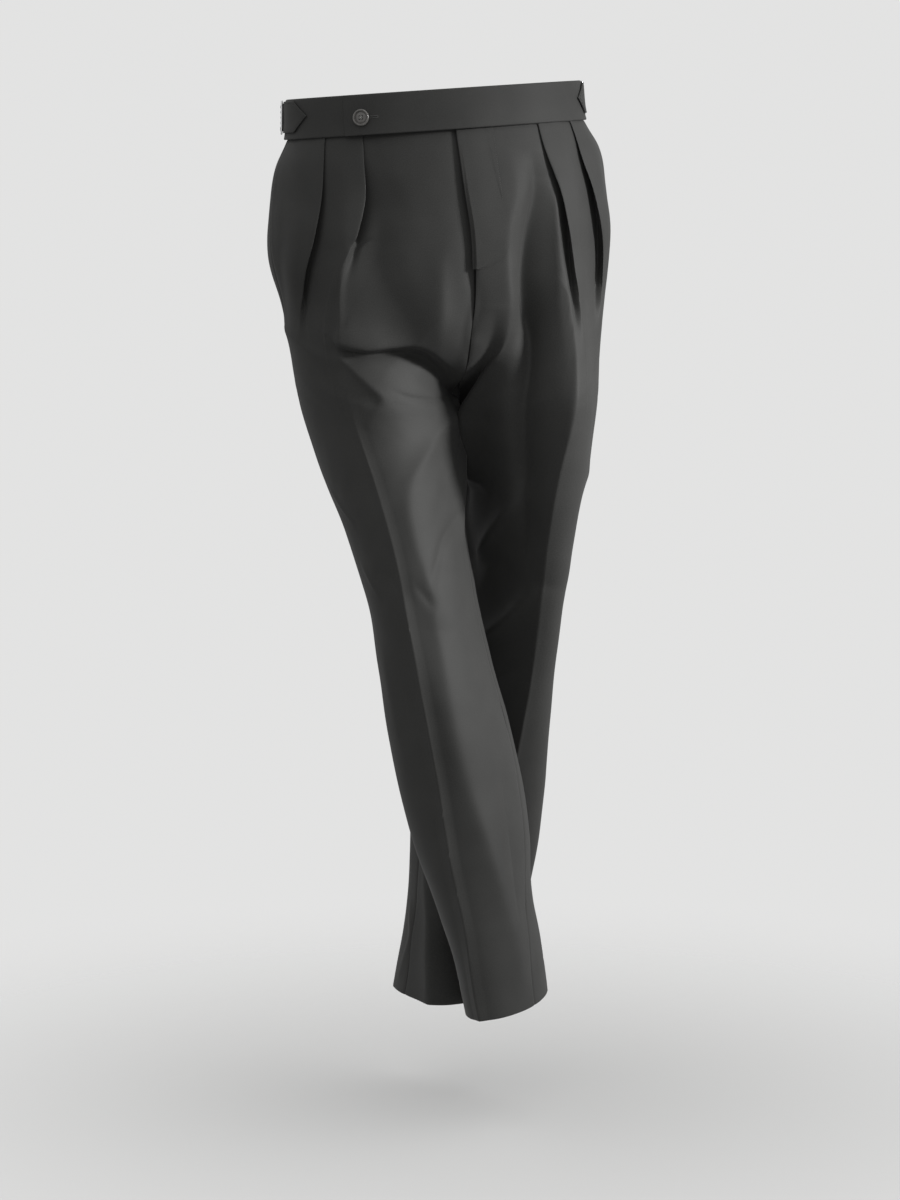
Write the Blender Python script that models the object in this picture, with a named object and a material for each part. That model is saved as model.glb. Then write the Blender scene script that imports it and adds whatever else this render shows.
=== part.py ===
"""Pleated dress trousers, worn with the legs crossed: +X is the viewer's right, -Y the front, +Z up.

Every cloth piece is a closed wall. Its shape is read from sections of the hips and of each leg, a row for
each section, with the pleats and the largest folds added as offsets. The tables are in millimetres.
"""

import math

import bmesh
import bpy
import numpy as np
from mathutils import Matrix, Vector

# Driving sizes, millimetres and degrees
CLOTH = 1.3
BAND_CLOTH = 3.0
BAND_HALF = 21.75
BAND_OFFSET = 0.4
SEAM_GAP = 0.3
LEG_CLEARANCE = 1.5
SEAT_EASE = 0.5
SEAM_SOFT = 0.2
SEAT_SOFT = 9.0
LEG_SOFT = 9.0
WAIST_SEAM = 22.0
CROTCH = 328.0
LEGS_START = 150.0
RISE_LATE = 3.0
ROWS_CLOSE = 190.0
CROTCH_PULL = 150.0
WAIST_ROLL = 0.066
WAIST_PITCH = 0.035
CREASE_REACH = {"right": 30.0, "left": 46.0}
SEAMS_TURNED = 560.0
HEM = {"right": 982.0, "left": 1010.0}
HEM_TILT = {"right": 0.12, "left": -0.09}
SIGN = {"right": -1.0, "left": 1.0}
FRONT_SPREAD = (4, 3, 3)
BACK_STEPS = 5

POCKET_TOP = 30.0
POCKET_FOOT = 191.0
POCKET_DEPTH = 0.8
POCKET_GAPE = 2.5

TAB_END = -95.0
TAB_CLOTH = 2.4
FLY_WIDE = 37.0
FLY_LAP = 3.0
FLY_J = 138.0
FLY_FOOT = 172.0
FLY_TURN = np.array([22.0, 12.0, 5.0, 1.5])

BUTTON_X = -75.8
BUTTON_DROP = 3.0
BUTTON_WIDE = 18.0
BUTTON_THICK = 3.4
BUTTON_RIM = 2.4
BUTTON_HOLE = 1.9
BUTTON_HOLES = 2.0

ADJUSTER_TIP = 1.56
ADJUSTER_DROP = -2.8
ADJUSTER_POINT = 22.0
ADJUSTER_HIGH = 34.0
ADJUSTER_CLOTH = 1.6
ADJUSTER_GAP = 0.8
ADJUSTER_BUCKLE = 62.0
STRAP_HIGH = 30.0
STRAP_LONG = 70.0
BUCKLE_LONG = 16.0
BUCKLE_HIGH = 37.0
BUCKLE_WIRE = 2.4
BUCKLE_BAR = 2.4
BUCKLE_THICK = 1.8
BUCKLE_GAP = 1.0
MM = 0.001

# Each finish: its colour, its roughness and how metallic it is
FINISHES = {
    "wool": ((0.035, 0.035, 0.034), 0.6, 0.0),
    "horn": ((0.05, 0.047, 0.045), 0.3, 0.0),
    "steel": ((0.75, 0.75, 0.76), 0.2, 1.0),
}


def table(header, rows):
    """A table as one array for each named column."""
    return dict(zip(header.split(), np.array(rows, float).T))


# The hips: how far the cloth reaches across (X), and in front of and behind the centre, at each drop below
# the middle of the waistband. yaw is how far the hips face +X; crease_* is the X of each crease.
HIPS = table(
    "drop left right front back yaw crease_right crease_left",
    [
        (-22, -161, 161, 110, 110, 12.5, -79, 108),
        (22, -163, 168, 113, 113, 12.5, -77, 112),
        (50, -173, 181, 118, 121, 13.0, -76, 119),
        (90, -180, 190, 123, 135, 14.5, -75, 133),
        (130, -183, 195, 126, 147, 16.5, -83, 145),
        (170, -180, 192, 126, 151, 17.5, -96, 152),
        (210, -171, 188, 123, 149, 16.5, -103, 156),
        (250, -162, 184, 118, 141, 14.0, -104, 156),
        (290, -154, 181, 112, 129, 12.5, -98, 156),
        (328, -148, 177, 108, 118, 12.5, -89, 155),
    ],
)

# Each leg: the section's centre, its half width and half depth, the crease beside the centre, how far the
# section leans (degrees) and how far the crease stands out.
LEGS = {
    "right": table(
        "drop centre_x centre_y half_wide half_deep crease_x lean crest",
        [
            (240, -68, -22, 97, 120, -35, 0, 0.5),
            (328, -58, -20, 90, 114, -30, 0, 1.5),
            (396, -45, -38, 79, 109, -21, -2, 2.5),
            (461, -31, -59, 66, 106, -16, -5, 3.0),
            (533, -13, -78, 60, 98, -19, -8, 3.5),
            (603, 1, -90, 62, 88, -18, -10, 4.0),
            (703, 22, -96, 67, 78, -20, -11, 4.5),
            (805, 43, -95, 61, 77, -27, -15, 5.0),
            (872, 57, -91, 51, 79, -29, -19, 5.0),
            (923, 70, -88, 48, 77, -35, -23, 5.0),
            (1000, 83, -84, 46, 74, -35, -26, 5.0),
        ],
    ),
    "left": table(
        "drop centre_x centre_y half_wide half_deep crease_x lean crest",
        [
            (240, 99, 12, 86, 126, 57, -14, 4.0),
            (328, 97, 16, 81, 121, 57, -27, 8.0),
            (396, 92, 20, 76, 112, 56, -38, 12.0),
            (461, 86, 25, 72, 102, 55, -46, 13.0),
            (546, 76, 34, 70, 90, 54, -46, 13.0),
            (639, 63, 42, 72, 78, 53, -44, 12.0),
            (713, 56, 46, 74, 71, 43, -38, 10.0),
            (798, 46, 48, 73, 66, 39, -36, 8.0),
            (856, 41, 46, 69, 66, 36, -38, 7.0),
            (943, 28, 42, 65, 63, 36, -42, 7.0),
            (1020, 14, 39, 65, 58, 40, -44, 7.0),
        ],
    ),
}

# Each pleat: the X of its folded edge, how far its layers overlap (below zero once it has opened flat) and
# how far the upper layer stands above the lower one.
PLEATS = {
    "right": {
        "inner": table(
            "drop across overlap lift",
            [
                (22, -77, 26, 4.2),
                (60, -76, 24, 5.0),
                (100, -75, 18, 7.0),
                (140, -87, 10, 8.5),
                (180, -98, 2, 8.0),
                (215, -103, -8, 6.0),
                (250, -104, -18, 4.0),
                (290, -98, -24, 2.5),
                (340, -86, -26, 0.0),
            ],
        ),
        "outer": table(
            "drop across overlap lift",
            [
                (22, -120, 24, 4.2),
                (66, -120, 20, 5.2),
                (110, -123, 13, 7.0),
                (154, -131, 4, 7.5),
                (198, -139, -8, 5.0),
                (236, -143, -20, 1.5),
                (260, -142, -24, 0.0),
            ],
        ),
    },
    "left": {
        "inner": table(
            "drop across overlap lift",
            [
                (22, 112, 26, 4.2),
                (60, 122, 23, 5.0),
                (100, 136, 17, 7.0),
                (140, 148, 9, 8.5),
                (180, 153, 2, 8.0),
                (215, 156, -8, 6.0),
                (250, 156, -18, 4.0),
                (290, 156, -24, 2.5),
                (340, 154, -26, 0.0),
            ],
        ),
        "outer": table(
            "drop across overlap lift",
            [
                (22, 146, 22, 4.2),
                (74, 168, 18, 5.2),
                (120, 181, 12, 7.0),
                (160, 184, 4, 7.5),
                (200, 184, -8, 5.0),
                (236, 181, -20, 1.5),
                (260, 178, -24, 0.0),
            ],
        ),
    },
}
LAYER_GAP = 0.8
PLEAT_FALL = 26.0

SAMPLES = 257
BETA = np.linspace(0.0, 4.0, SAMPLES)
NEAR_SEAM = np.clip(1 - BETA, 0.0, 1.0) ** 2 + np.clip((BETA - 2.4) / 1.6, 0.0, 1.0) ** 2
AWAY_FROM_SEAM = np.clip(np.minimum(BETA, 4 - BETA) / 0.4, 0.0, 1.0)


def read(rows, name, drop):
    """A column at any drop, as a smooth curve through the rows."""
    x, y = rows["drop"], rows[name]
    slope = np.gradient(y, x)
    drop = np.clip(drop, x[0], x[-1])
    i = np.clip(np.searchsorted(x, drop) - 1, 0, len(x) - 2)
    wide = x[i + 1] - x[i]
    s = (drop - x[i]) / wide
    start = (1 + 2 * s) * (1 - s) ** 2 * y[i] + s * (1 - s) ** 2 * wide * slope[i]
    end = s * s * (3 - 2 * s) * y[i + 1] + s * s * (s - 1) * wide * slope[i + 1]
    return start + end


def smoothstep(low, high, value):
    s = np.clip((value - low) / (high - low), 0.0, 1.0)
    return s * s * (3 - 2 * s)


def hip_half(side, drop):
    """Half of the hips' section from the centre front (beta 0) past the side seam (2) to the centre back (4)."""
    left, right = read(HIPS, "left", drop), read(HIPS, "right", drop)
    front, back = read(HIPS, "front", drop), read(HIPS, "back", drop)
    yaw = math.radians(read(HIPS, "yaw", drop))
    centre = 0.5 * (left + right)
    reach = math.sqrt((0.5 * (right - left)) ** 2 - (front * math.sin(yaw)) ** 2) / math.cos(yaw)
    along, across = front * math.sin(yaw), SIGN[side] * reach * math.cos(yaw)
    crease = read(HIPS, "crease_" + side, drop) - centre
    turn = math.atan2(across, along) - SIGN[side] * math.acos(crease / math.hypot(along, across))
    shift = math.pi / 4 - abs(turn)
    angle = BETA * math.pi / 4 - shift * np.sin(BETA * math.pi / 2)
    ahead = np.where(angle < math.pi / 2, front, back) * np.cos(angle)
    aside = SIGN[side] * reach * np.sin(angle)
    x = centre + ahead * math.sin(yaw) + aside * math.cos(yaw)
    y = -ahead * math.cos(yaw) + aside * math.sin(yaw)
    return np.stack([x, y], -1)


def leg_ring(side, drop):
    """A leg's section: inseam at beta 0 and 4, front crease at 1, side seam at 2, back crease at 3.

    At the crotch only the front crease is turned; further down the seams turn with it.
    """
    rows = LEGS[side]
    wide, deep = read(rows, "half_wide", drop), read(rows, "half_deep", drop)
    crease = math.asin(SIGN[side] * read(rows, "crease_x", drop) / wide)
    seams = smoothstep(CROTCH, SEAMS_TURNED, drop)
    near_crease = np.where(BETA < 2, np.sin(BETA * math.pi / 2) ** 2, 0.0)
    angle = (BETA - 1) * math.pi / 2 + crease * (seams + (1 - seams) * near_crease)
    lean = math.radians(read(rows, "lean", drop))
    x = read(rows, "centre_x", drop) + SIGN[side] * wide * np.sin(angle)
    y = read(rows, "centre_y", drop) - deep * np.cos(angle + lean)
    return np.stack([x, y], -1)


def leg_from_crotch(side, drop):
    """The leg's section with its inseam drawn to the crotch point, less and less further down the leg."""
    ring = leg_ring(side, drop)
    point = 0.5 * (leg_ring("right", CROTCH)[0] + leg_ring("left", CROTCH)[0])
    pull = 1 - smoothstep(CROTCH, CROTCH + CROTCH_PULL, drop)
    return ring + pull * np.outer(NEAR_SEAM, point - ring[0])


def halves_at(drop):
    """Both halves at a drop no lower than the crotch. The cloth turns from the hips' shape to the leg's, last
    of all at the rise seam, which the halves share and which so runs down the front and curves under."""
    s = np.clip((drop - LEGS_START) / (CROTCH - LEGS_START), 0.0, 1.0)
    blend = smoothstep(0.0, 1.0, s ** (1 + RISE_LATE * NEAR_SEAM))[:, None]
    return {side: (1 - blend) * hip_half(side, drop) + blend * leg_from_crotch(side, drop) for side in SIGN}


def divide(drop):
    """The line that keeps the halves apart: a point on it and its unit normal, from the right to the left."""
    centres = {
        side: np.array([read(LEGS[side], "centre_x", drop), read(LEGS[side], "centre_y", drop)])
        for side in SIGN
    }
    across = centres["left"] - centres["right"]
    normal = across / np.linalg.norm(across)
    if drop <= CROTCH:
        front, back = halves_at(drop)["right"][[0, -1]]
        if np.linalg.norm(back - front) > 1.0:
            seam = (back - front) / np.linalg.norm(back - front)
            normal = np.array([seam[1], -seam[0]])
        return 0.5 * (front + back), normal
    reach = {side: np.max((leg_ring(side, drop) - centres[side]) @ (-SIGN[side] * normal)) for side in SIGN}
    meeting = centres["right"] + across * reach["right"] / sum(reach.values())
    away = smoothstep(CROTCH, CROTCH + 60, drop)
    return (1 - away) * halves_at(CROTCH)["right"][0] + away * meeting, normal


def pressed(side, ring, drop):
    """The section kept on its own side of the dividing line, flattened where it meets the other leg."""
    point, normal = divide(drop)
    inward = SIGN[side] * normal
    below = smoothstep(CROTCH, CROTCH + 120, drop)
    soft = SEAM_SOFT + SEAT_SOFT * (1 - below) * AWAY_FROM_SEAM + LEG_SOFT * below
    clearance = 0.5 * SEAM_GAP + SEAT_EASE * smoothstep(CROTCH - 110, CROTCH - 60, drop)
    clearance += (LEG_CLEARANCE - clearance) * smoothstep(CROTCH, CROTCH + 20, drop)
    distance = (ring - point) @ inward
    kept = clearance + soft * np.logaddexp(0.0, (distance - clearance) / soft)
    return ring + np.outer(kept - distance, inward)


def base_section(side, drop):
    """The outer face of one half at a drop, before pleats and folds, as points in X and Y."""
    section = halves_at(drop)[side] if drop <= CROTCH else leg_from_crotch(side, drop)
    return pressed(side, section, drop)


class Section:
    """One row of a half garment: places at a beta, and the distance round it."""

    def __init__(self, side, drop):
        self.side, self.drop = side, drop
        self.points = base_section(side, drop)
        steps = np.linalg.norm(np.diff(self.points, axis=0), axis=1)
        self.round = np.concatenate([[0.0], np.cumsum(steps)])
        tangent = np.gradient(self.points, axis=0)
        if drop > CROTCH:
            ends = self.points[1] - self.points[-2]
            tangent[0] = tangent[-1] = ends
        tangent /= np.linalg.norm(tangent, axis=1, keepdims=True)
        out = np.stack([tangent[:, 1], -tangent[:, 0]], -1)
        self.out = SIGN[side] * out

    def at(self, beta):
        return np.interp(beta, BETA, self.round)

    def beta_across(self, x):
        """The beta at which the front of the section reaches an X."""
        front = BETA <= 2.0
        run = SIGN[self.side] * self.points[front, 0]
        run = np.maximum.accumulate(run)
        return float(np.interp(SIGN[self.side] * x, run, BETA[front]))

    def place(self, run, offset):
        """World points, in millimetres, at distances round the section and offsets outwards."""
        run, offset = np.asarray(run, float), np.asarray(offset, float)
        spot = np.stack([np.interp(run, self.round, self.points[:, i]) for i in (0, 1)], -1)
        out = np.stack([np.interp(run, self.round, self.out[:, i]) for i in (0, 1)], -1)
        out /= np.linalg.norm(out, axis=1, keepdims=True)
        spot = spot + out * offset[:, None]
        hips = 1 - smoothstep(WAIST_SEAM, CROTCH, self.drop)
        z = -self.drop + hips * (WAIST_ROLL * spot[:, 0] + WAIST_PITCH * spot[:, 1])
        if self.drop > CROTCH:
            hem = smoothstep(CROTCH, HEM[self.side], self.drop) * HEM_TILT[self.side]
            z = z + hem * (spot[:, 0] - read(LEGS[self.side], "centre_x", self.drop))
        return np.column_stack([spot, z])


# The largest soft folds: from one end to the other (X and drop), how deep (below zero a ridge) and how wide.
FOLDS = {
    ("front", "right"): table(
        "x1 drop1 x2 drop2 depth width",
        [
            (-100, 250, -70, 263, 6.0, 9),
            (-60, 256, -24, 249, 7.0, 10),
            (-10, 256, 28, 292, 6.0, 10),
            (-60, 290, 0, 286, -5.0, 20),
            (-2, 340, -46, 445, 5.0, 14),
        ],
    ),
    ("front", "left"): table(
        "x1 drop1 x2 drop2 depth width",
        [
            (99, 140, 84, 320, -5.0, 12),
            (122, 150, 116, 330, 4.0, 12),
            (74, 235, 64, 330, 4.0, 12),
        ],
    ),
    ("back", "right"): table(
        "x1 drop1 x2 drop2 depth width",
        [(-110, 330, -30, 352, 6.0, 14), (-70, 540, -10, 556, 5.0, 12)],
    ),
    ("back", "left"): table(
        "x1 drop1 x2 drop2 depth width",
        [(60, 345, 140, 328, 6.0, 14), (40, 560, 110, 548, 5.0, 12)],
    ),
}


def fold_offset(panel, side, x, drop):
    """How far the panel's folds move its cloth outwards at an X and a drop."""
    total = np.zeros_like(x)
    rows = FOLDS[panel, side]
    for x1, drop1, x2, drop2, depth, width in zip(*rows.values()):
        along = np.array([x2 - x1, drop2 - drop1])
        length = np.linalg.norm(along)
        reach = np.stack([x - x1, np.full_like(x, drop - drop1)], -1)
        place = reach @ along / length**2
        beside = (reach @ np.array([-along[1], along[0]])) / length
        past = np.maximum(np.abs(place - 0.5) - 0.5, 0.0) * length
        total -= depth * np.exp(-((beside / width) ** 2) - (past / width) ** 2)
    return total


def pleat_knots(section, pleat, seat, shelf_below):
    """The folded edge of a pleat as places round the section and offsets, from its under layer to its top."""
    overlap = read(pleat, "overlap", section.drop)
    lift = max(read(pleat, "lift", section.drop), 0.0)
    folded = float(np.clip(overlap / 12, 0.0, 1.0))
    under, opened = max(overlap, 0.0), max(-overlap, 0.0) / 2
    slack = 3.0 * (1 - folded)
    below = 2 * CLOTH + LAYER_GAP
    first, last = seat + under - opened, seat + opened
    low = (1 - folded) * 0.25 * lift + folded * LAYER_GAP
    high = (1 - folded) * 0.75 * lift + folded * (lift - below)
    run = np.array([first - slack, first + slack, 0.5 * (first + last), last - slack, last + slack])
    offset = np.array([0.0, low, 0.5 * (low + high), high, lift]) + shelf_below(run)

    def shelf(place):
        return lift * (1 - smoothstep(seat + under + 4, seat + under + 4 + PLEAT_FALL, place))

    return run, offset, shelf


def front_path(section, spread):
    """The front panel's outer face as places round the section and offsets. spread is the number of steps
    from the rise to the first pleat, between the pleats and on to the side seam."""
    side = section.side
    inner_seat = section.at(1.0)
    open_seat = section.at(1.5)
    outer = PLEATS[side]["outer"]
    seen_seat = section.at(section.beta_across(read(outer, "across", section.drop)))
    gone = smoothstep(outer["drop"][-2], outer["drop"][-1] + 40, section.drop)
    outer_seat = (1 - gone) * seen_seat + gone * open_seat

    inner_run, inner_offset, inner_shelf = pleat_knots(
        section, PLEATS[side]["inner"], inner_seat, lambda run: 0.0 * run
    )
    outer_run, outer_offset, outer_shelf = pleat_knots(section, outer, outer_seat, inner_shelf)
    start, end = 0.5 * SEAM_GAP, section.at(2.0) - 0.5 * SEAM_GAP
    to_first = np.linspace(start, inner_run[0], spread[0] + 1)[:-1]
    between = np.linspace(inner_run[-1], outer_run[0], spread[1] + 1)[1:-1]
    to_side = np.linspace(outer_run[-1], end, spread[2] + 1)[1:]
    mouth = smoothstep(POCKET_TOP - 10, POCKET_TOP + 30, section.drop)
    mouth *= 1 - smoothstep(POCKET_FOOT - 60, POCKET_FOOT - 10, section.drop)
    gape = POCKET_GAPE * mouth * smoothstep(end - 14, end, to_side)
    run = np.concatenate([to_first, inner_run, between, outer_run, to_side])
    offset = np.concatenate(
        [
            0.0 * to_first,
            inner_offset,
            inner_shelf(between),
            outer_offset,
            inner_shelf(to_side) + outer_shelf(to_side) + gape,
        ]
    )
    return run, offset


def back_path(section, steps):
    """The back panel's outer face, with a column on its crease."""
    start, end = section.at(2.0) + 0.5 * SEAM_GAP, section.round[-1] - 0.5 * SEAM_GAP
    middle = section.at(3.0)
    run = np.concatenate([np.linspace(start, middle, steps + 1)[:-1], np.linspace(middle, end, steps + 1)])
    return run, 0.0 * run


def crest(section, run, beta):
    """The pressed crease: a ridge along a beta."""
    height = read(LEGS[section.side], "crest", section.drop) * smoothstep(240, 340, section.drop)
    beside = np.abs(run - section.at(beta)) / CREASE_REACH[section.side]
    return height * np.maximum(1 - beside, 0.0) ** 1.5


def inner_path(run, offset, wall):
    """A path moved in by the wall, with mitred corners."""
    path = np.stack([run, offset], -1)
    along = np.diff(path, axis=0)
    along /= np.maximum(np.linalg.norm(along, axis=1, keepdims=True), 1e-9)
    normal = np.stack([-along[:, 1], along[:, 0]], -1)
    before = np.vstack([normal[:1], normal])
    after = np.vstack([normal, normal[-1:]])
    mitre = (before + after) / np.maximum(1 + np.sum(before * after, axis=1, keepdims=True), 0.5)
    mitre[0], mitre[-1] = (0.0, 1.0), (0.0, 1.0)
    return (path - wall * mitre).T


def wall_mesh(name, outer, inner):
    """A closed wall between two grids of points, given in millimetres."""
    rows, columns = outer.shape[:2]
    points = np.concatenate([outer.reshape(-1, 3), inner.reshape(-1, 3)]) * MM
    mesh = bpy.data.meshes.new(name)
    shape = bmesh.new()
    verts = [shape.verts.new(point) for point in points]
    out = [[verts[r * columns + c] for c in range(columns)] for r in range(rows)]
    back = [[verts[(rows + r) * columns + c] for c in range(columns)] for r in range(rows)]
    for r in range(rows - 1):
        for c in range(columns - 1):
            shape.faces.new((out[r][c], out[r][c + 1], out[r + 1][c + 1], out[r + 1][c]))
            shape.faces.new((back[r][c], back[r + 1][c], back[r + 1][c + 1], back[r][c + 1]))
    rim = [(0, c) for c in range(columns)] + [(r, columns - 1) for r in range(1, rows)]
    rim += [(rows - 1, c) for c in range(columns - 2, -1, -1)] + [(r, 0) for r in range(rows - 2, 0, -1)]
    for (r1, c1), (r2, c2) in zip(rim, rim[1:] + rim[:1]):
        shape.faces.new((out[r1][c1], back[r1][c1], back[r2][c2], out[r2][c2]))
    bmesh.ops.recalc_face_normals(shape, faces=shape.faces[:])
    bmesh.ops.triangulate(shape, faces=shape.faces[:])
    if shape.calc_volume(signed=True) < 0:
        bmesh.ops.reverse_faces(shape, faces=shape.faces[:])
    shape.to_mesh(mesh)
    shape.free()
    return mesh


def material(name, finish):
    """A material of a piece's own, in one of the finishes."""
    colour, roughness, metallic = FINISHES[finish]
    made = bpy.data.materials.new(name)
    made.use_nodes = True
    shader = made.node_tree.nodes["Principled BSDF"]
    shader.inputs["Base Color"].default_value = (*colour, 1.0)
    shader.inputs["Roughness"].default_value = roughness
    shader.inputs["Metallic"].default_value = metallic
    return made


def add_object(name, mesh, finish, smooth=True):
    mesh.materials.append(material(f"{name}_{finish}", finish))
    if smooth:
        mesh.shade_smooth()
        mesh.set_sharp_from_angle(angle=math.radians(40))
    made = bpy.data.objects.new(name, mesh)
    bpy.context.scene.collection.objects.link(made)
    return made


def leg_drops(side):
    """The rows of a panel: close together in the pleats and at the crotch, wide apart down the leg."""
    pleated = np.linspace(WAIST_SEAM + 0.5 * SEAM_GAP, ROWS_CLOSE, 10)
    turning = ROWS_CLOSE + (CROTCH - ROWS_CLOSE) * np.sin(np.radians([20, 33, 45, 56, 66, 76, 90]))
    thigh = CROTCH + np.array([6, 16, 34, 60])
    down = np.linspace(CROTCH + 96, HEM[side], 12)
    return np.concatenate([pleated, turning, thigh, down])


def panel_path(kind, section):
    """A panel's outer face at one section, with its pleats, its pressed crease and its folds."""
    if kind == "front":
        run, offset = front_path(section, FRONT_SPREAD)
        beta = 1.0
    else:
        run, offset = back_path(section, BACK_STEPS)
        beta = 3.0
    x = section.place(run, offset)[:, 0]
    return run, offset + crest(section, run, beta) + fold_offset(kind, section.side, x, section.drop)


def panel(kind, side):
    """A front or back panel as a closed wall."""
    outer, inner = [], []
    for drop in leg_drops(side):
        section = Section(side, drop)
        run, offset = panel_path(kind, section)
        outer.append(section.place(run, offset))
        inner.append(section.place(*inner_path(run, offset, CLOTH)))
    return wall_mesh(f"{kind}_{side}", np.array(outer), np.array(inner))


def pocket_facing(side):
    """The strip behind the side seam that shows in the mouth of the pocket. It runs under the panels' own
    columns, two in front of the seam and one behind it."""
    outer, inner = [], []
    for drop in leg_drops(side):
        if not POCKET_TOP < drop < POCKET_FOOT:
            continue
        section = Section(side, drop)
        front_run, front_offset = panel_path("front", section)
        back_run, back_offset = panel_path("back", section)
        run = np.concatenate([front_run[-3:-1], [section.at(2.0)], back_run[1:2]])
        offset = np.concatenate([front_offset[-3:-1], back_offset[:2]])
        outer.append(section.place(*inner_path(run, offset, CLOTH + POCKET_DEPTH)))
        inner.append(section.place(*inner_path(run, offset, 2 * CLOTH + POCKET_DEPTH)))
    return wall_mesh(f"pocket_facing_{side}", np.array(outer), np.array(inner))


def band_loop(side, betas, low, high):
    """The two faces of a stretch of waistband, each with rows of points at its top, middle and foot."""
    outer, inner = [], []
    for drop in (-BAND_HALF, 0.0, BAND_HALF):
        section = Section(side, drop)
        run = np.clip(section.at(betas), 0.5 * SEAM_GAP, section.round[-1] - 0.5 * SEAM_GAP)
        outer.append(section.place(run, np.zeros(len(run)) + high))
        inner.append(section.place(run, np.zeros(len(run)) + low))
    return np.array(outer), np.array(inner)


def waistband_right():
    outer, inner = band_loop("right", np.linspace(0, 4, 37), BAND_OFFSET, BAND_OFFSET + BAND_CLOTH)
    return wall_mesh("waistband_right", outer, inner)


def tab_low():
    """How far out the back of the extension tab lies: just clear of the band under it."""
    return BAND_OFFSET + BAND_CLOTH + SEAM_GAP


def waistband_left():
    """The left band, which rises over the end of the right one and runs on as the extension tab."""
    over = Section("right", 0.0)
    tab_betas = np.linspace(over.beta_across(TAB_END), 0.02, 12)
    tab_outer, tab_inner = band_loop("right", tab_betas, tab_low(), tab_low() + TAB_CLOTH)
    betas = np.concatenate([[0.0, 0.06, 0.12, 0.2, 0.28], np.linspace(0.4, 4, 33)])
    lifted = (1 - smoothstep(0.06, 0.28, betas)) * (tab_low() - BAND_OFFSET)
    thick = BAND_CLOTH + (TAB_CLOTH - BAND_CLOTH) * (1 - smoothstep(0.06, 0.28, betas))
    outer, inner = band_loop("left", betas, BAND_OFFSET + lifted, BAND_OFFSET + lifted + thick)
    return wall_mesh(
        "waistband_left",
        np.concatenate([tab_outer, outer], axis=1),
        np.concatenate([tab_inner, inner], axis=1),
    )


def fly_placket():
    """The lap of the fly on the left front: it covers the seam by a little and ends in a J at its foot."""
    drops = np.concatenate([np.linspace(WAIST_SEAM + 0.5 * SEAM_GAP, FLY_J, 6), FLY_FOOT - FLY_TURN])
    outer, inner = [], []
    for drop in drops:
        down = max(drop - FLY_J, 0.0) / (FLY_FOOT - FLY_J)
        wide = FLY_WIDE * math.sqrt(max(1 - down**2, 0.0)) + FLY_LAP
        over, section = Section("right", drop), Section("left", drop)
        run = np.linspace(0.0, wide - FLY_LAP, 6)
        folds = fold_offset("front", "left", section.place(run, 0 * run)[:, 0], drop)
        for face, high in ((outer, SEAM_GAP + CLOTH), (inner, SEAM_GAP)):
            face.append(np.vstack([over.place([FLY_LAP], [high]), section.place(run, folds + high)]))
    return wall_mesh("fly_placket", np.array(outer), np.array(inner))


def stand_at(thing, side, drop, run, offset):
    """Puts an object on the cloth, with its Z outwards and its X round the section, away from the front."""
    section = Section(side, drop)
    spot, ahead = section.place([run, run + 1.0], [offset, offset])
    above = Section(side, drop - 12.0).place([run], [offset])[0]
    below = Section(side, drop + 12.0).place([run], [offset])[0]
    ahead, up = Vector(ahead - spot).normalized(), Vector(above - below).normalized()
    out = (SIGN[side] * ahead.cross(up)).normalized()
    turn = Matrix((ahead, out.cross(ahead), out)).transposed()
    thing.matrix_world = Matrix.Translation(spot * MM) @ turn.to_4x4()


def waist_button():
    """A turned four-hole button, dished inside its rim."""
    radius, rim, dish = BUTTON_WIDE / 2, BUTTON_RIM, BUTTON_THICK * 0.6
    profile = [
        (0.0, 0.0),
        (radius * 0.8, 0.0),
        (radius, BUTTON_THICK * 0.45),
        (radius * 0.98, BUTTON_THICK * 0.85),
        (radius - rim * 0.5, BUTTON_THICK),
        (radius - rim, dish),
        (0.0, dish),
    ]
    shape = bmesh.new()
    verts = [shape.verts.new((x * MM, 0.0, z * MM)) for x, z in profile]
    edges = [shape.edges.new(pair) for pair in zip(verts, verts[1:])]
    bmesh.ops.spin(shape, geom=verts + edges, axis=(0, 0, 1), cent=(0, 0, 0), angle=math.tau, steps=32)
    bmesh.ops.remove_doubles(shape, verts=shape.verts, dist=1e-6)
    bmesh.ops.recalc_face_normals(shape, faces=shape.faces[:])
    mesh = bpy.data.meshes.new("waist_button")
    shape.to_mesh(mesh)
    shape.free()
    button = add_object("waist_button", mesh, "horn")
    for number in range(4):
        angle = math.tau * (number + 0.5) / 4
        bpy.ops.mesh.primitive_cylinder_add(vertices=10, radius=BUTTON_HOLE / 2 * MM, depth=0.02)
        drill = bpy.context.object
        drill.name = f"button_drill_{number}"
        drill.location = (BUTTON_HOLES * math.cos(angle) * MM, BUTTON_HOLES * math.sin(angle) * MM, 0)
        drill.hide_render, drill.display_type = True, "WIRE"
        drill.parent = button
        cut = button.modifiers.new(f"hole_{number}", "BOOLEAN")
        cut.operation, cut.object = "DIFFERENCE", drill
    over = Section("right", BUTTON_DROP)
    stand_at(button, "right", BUTTON_DROP, over.at(over.beta_across(BUTTON_X)), tab_low() + TAB_CLOTH + 0.5)


def adjuster_tab(side):
    """The pointed tab: its tip faces the front, and its back end stops at the buckle."""
    pointed = np.linspace(0.0, ADJUSTER_POINT, 5)
    lengths = np.concatenate([pointed, np.linspace(ADJUSTER_POINT, ADJUSTER_BUCKLE - 1.0, 7)[1:]])
    half_high = ADJUSTER_HIGH / 2 * np.clip(lengths / ADJUSTER_POINT, 0.06, 1.0)
    return adjuster_plate(f"adjuster_tab_{side}", side, lengths, half_high)


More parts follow.
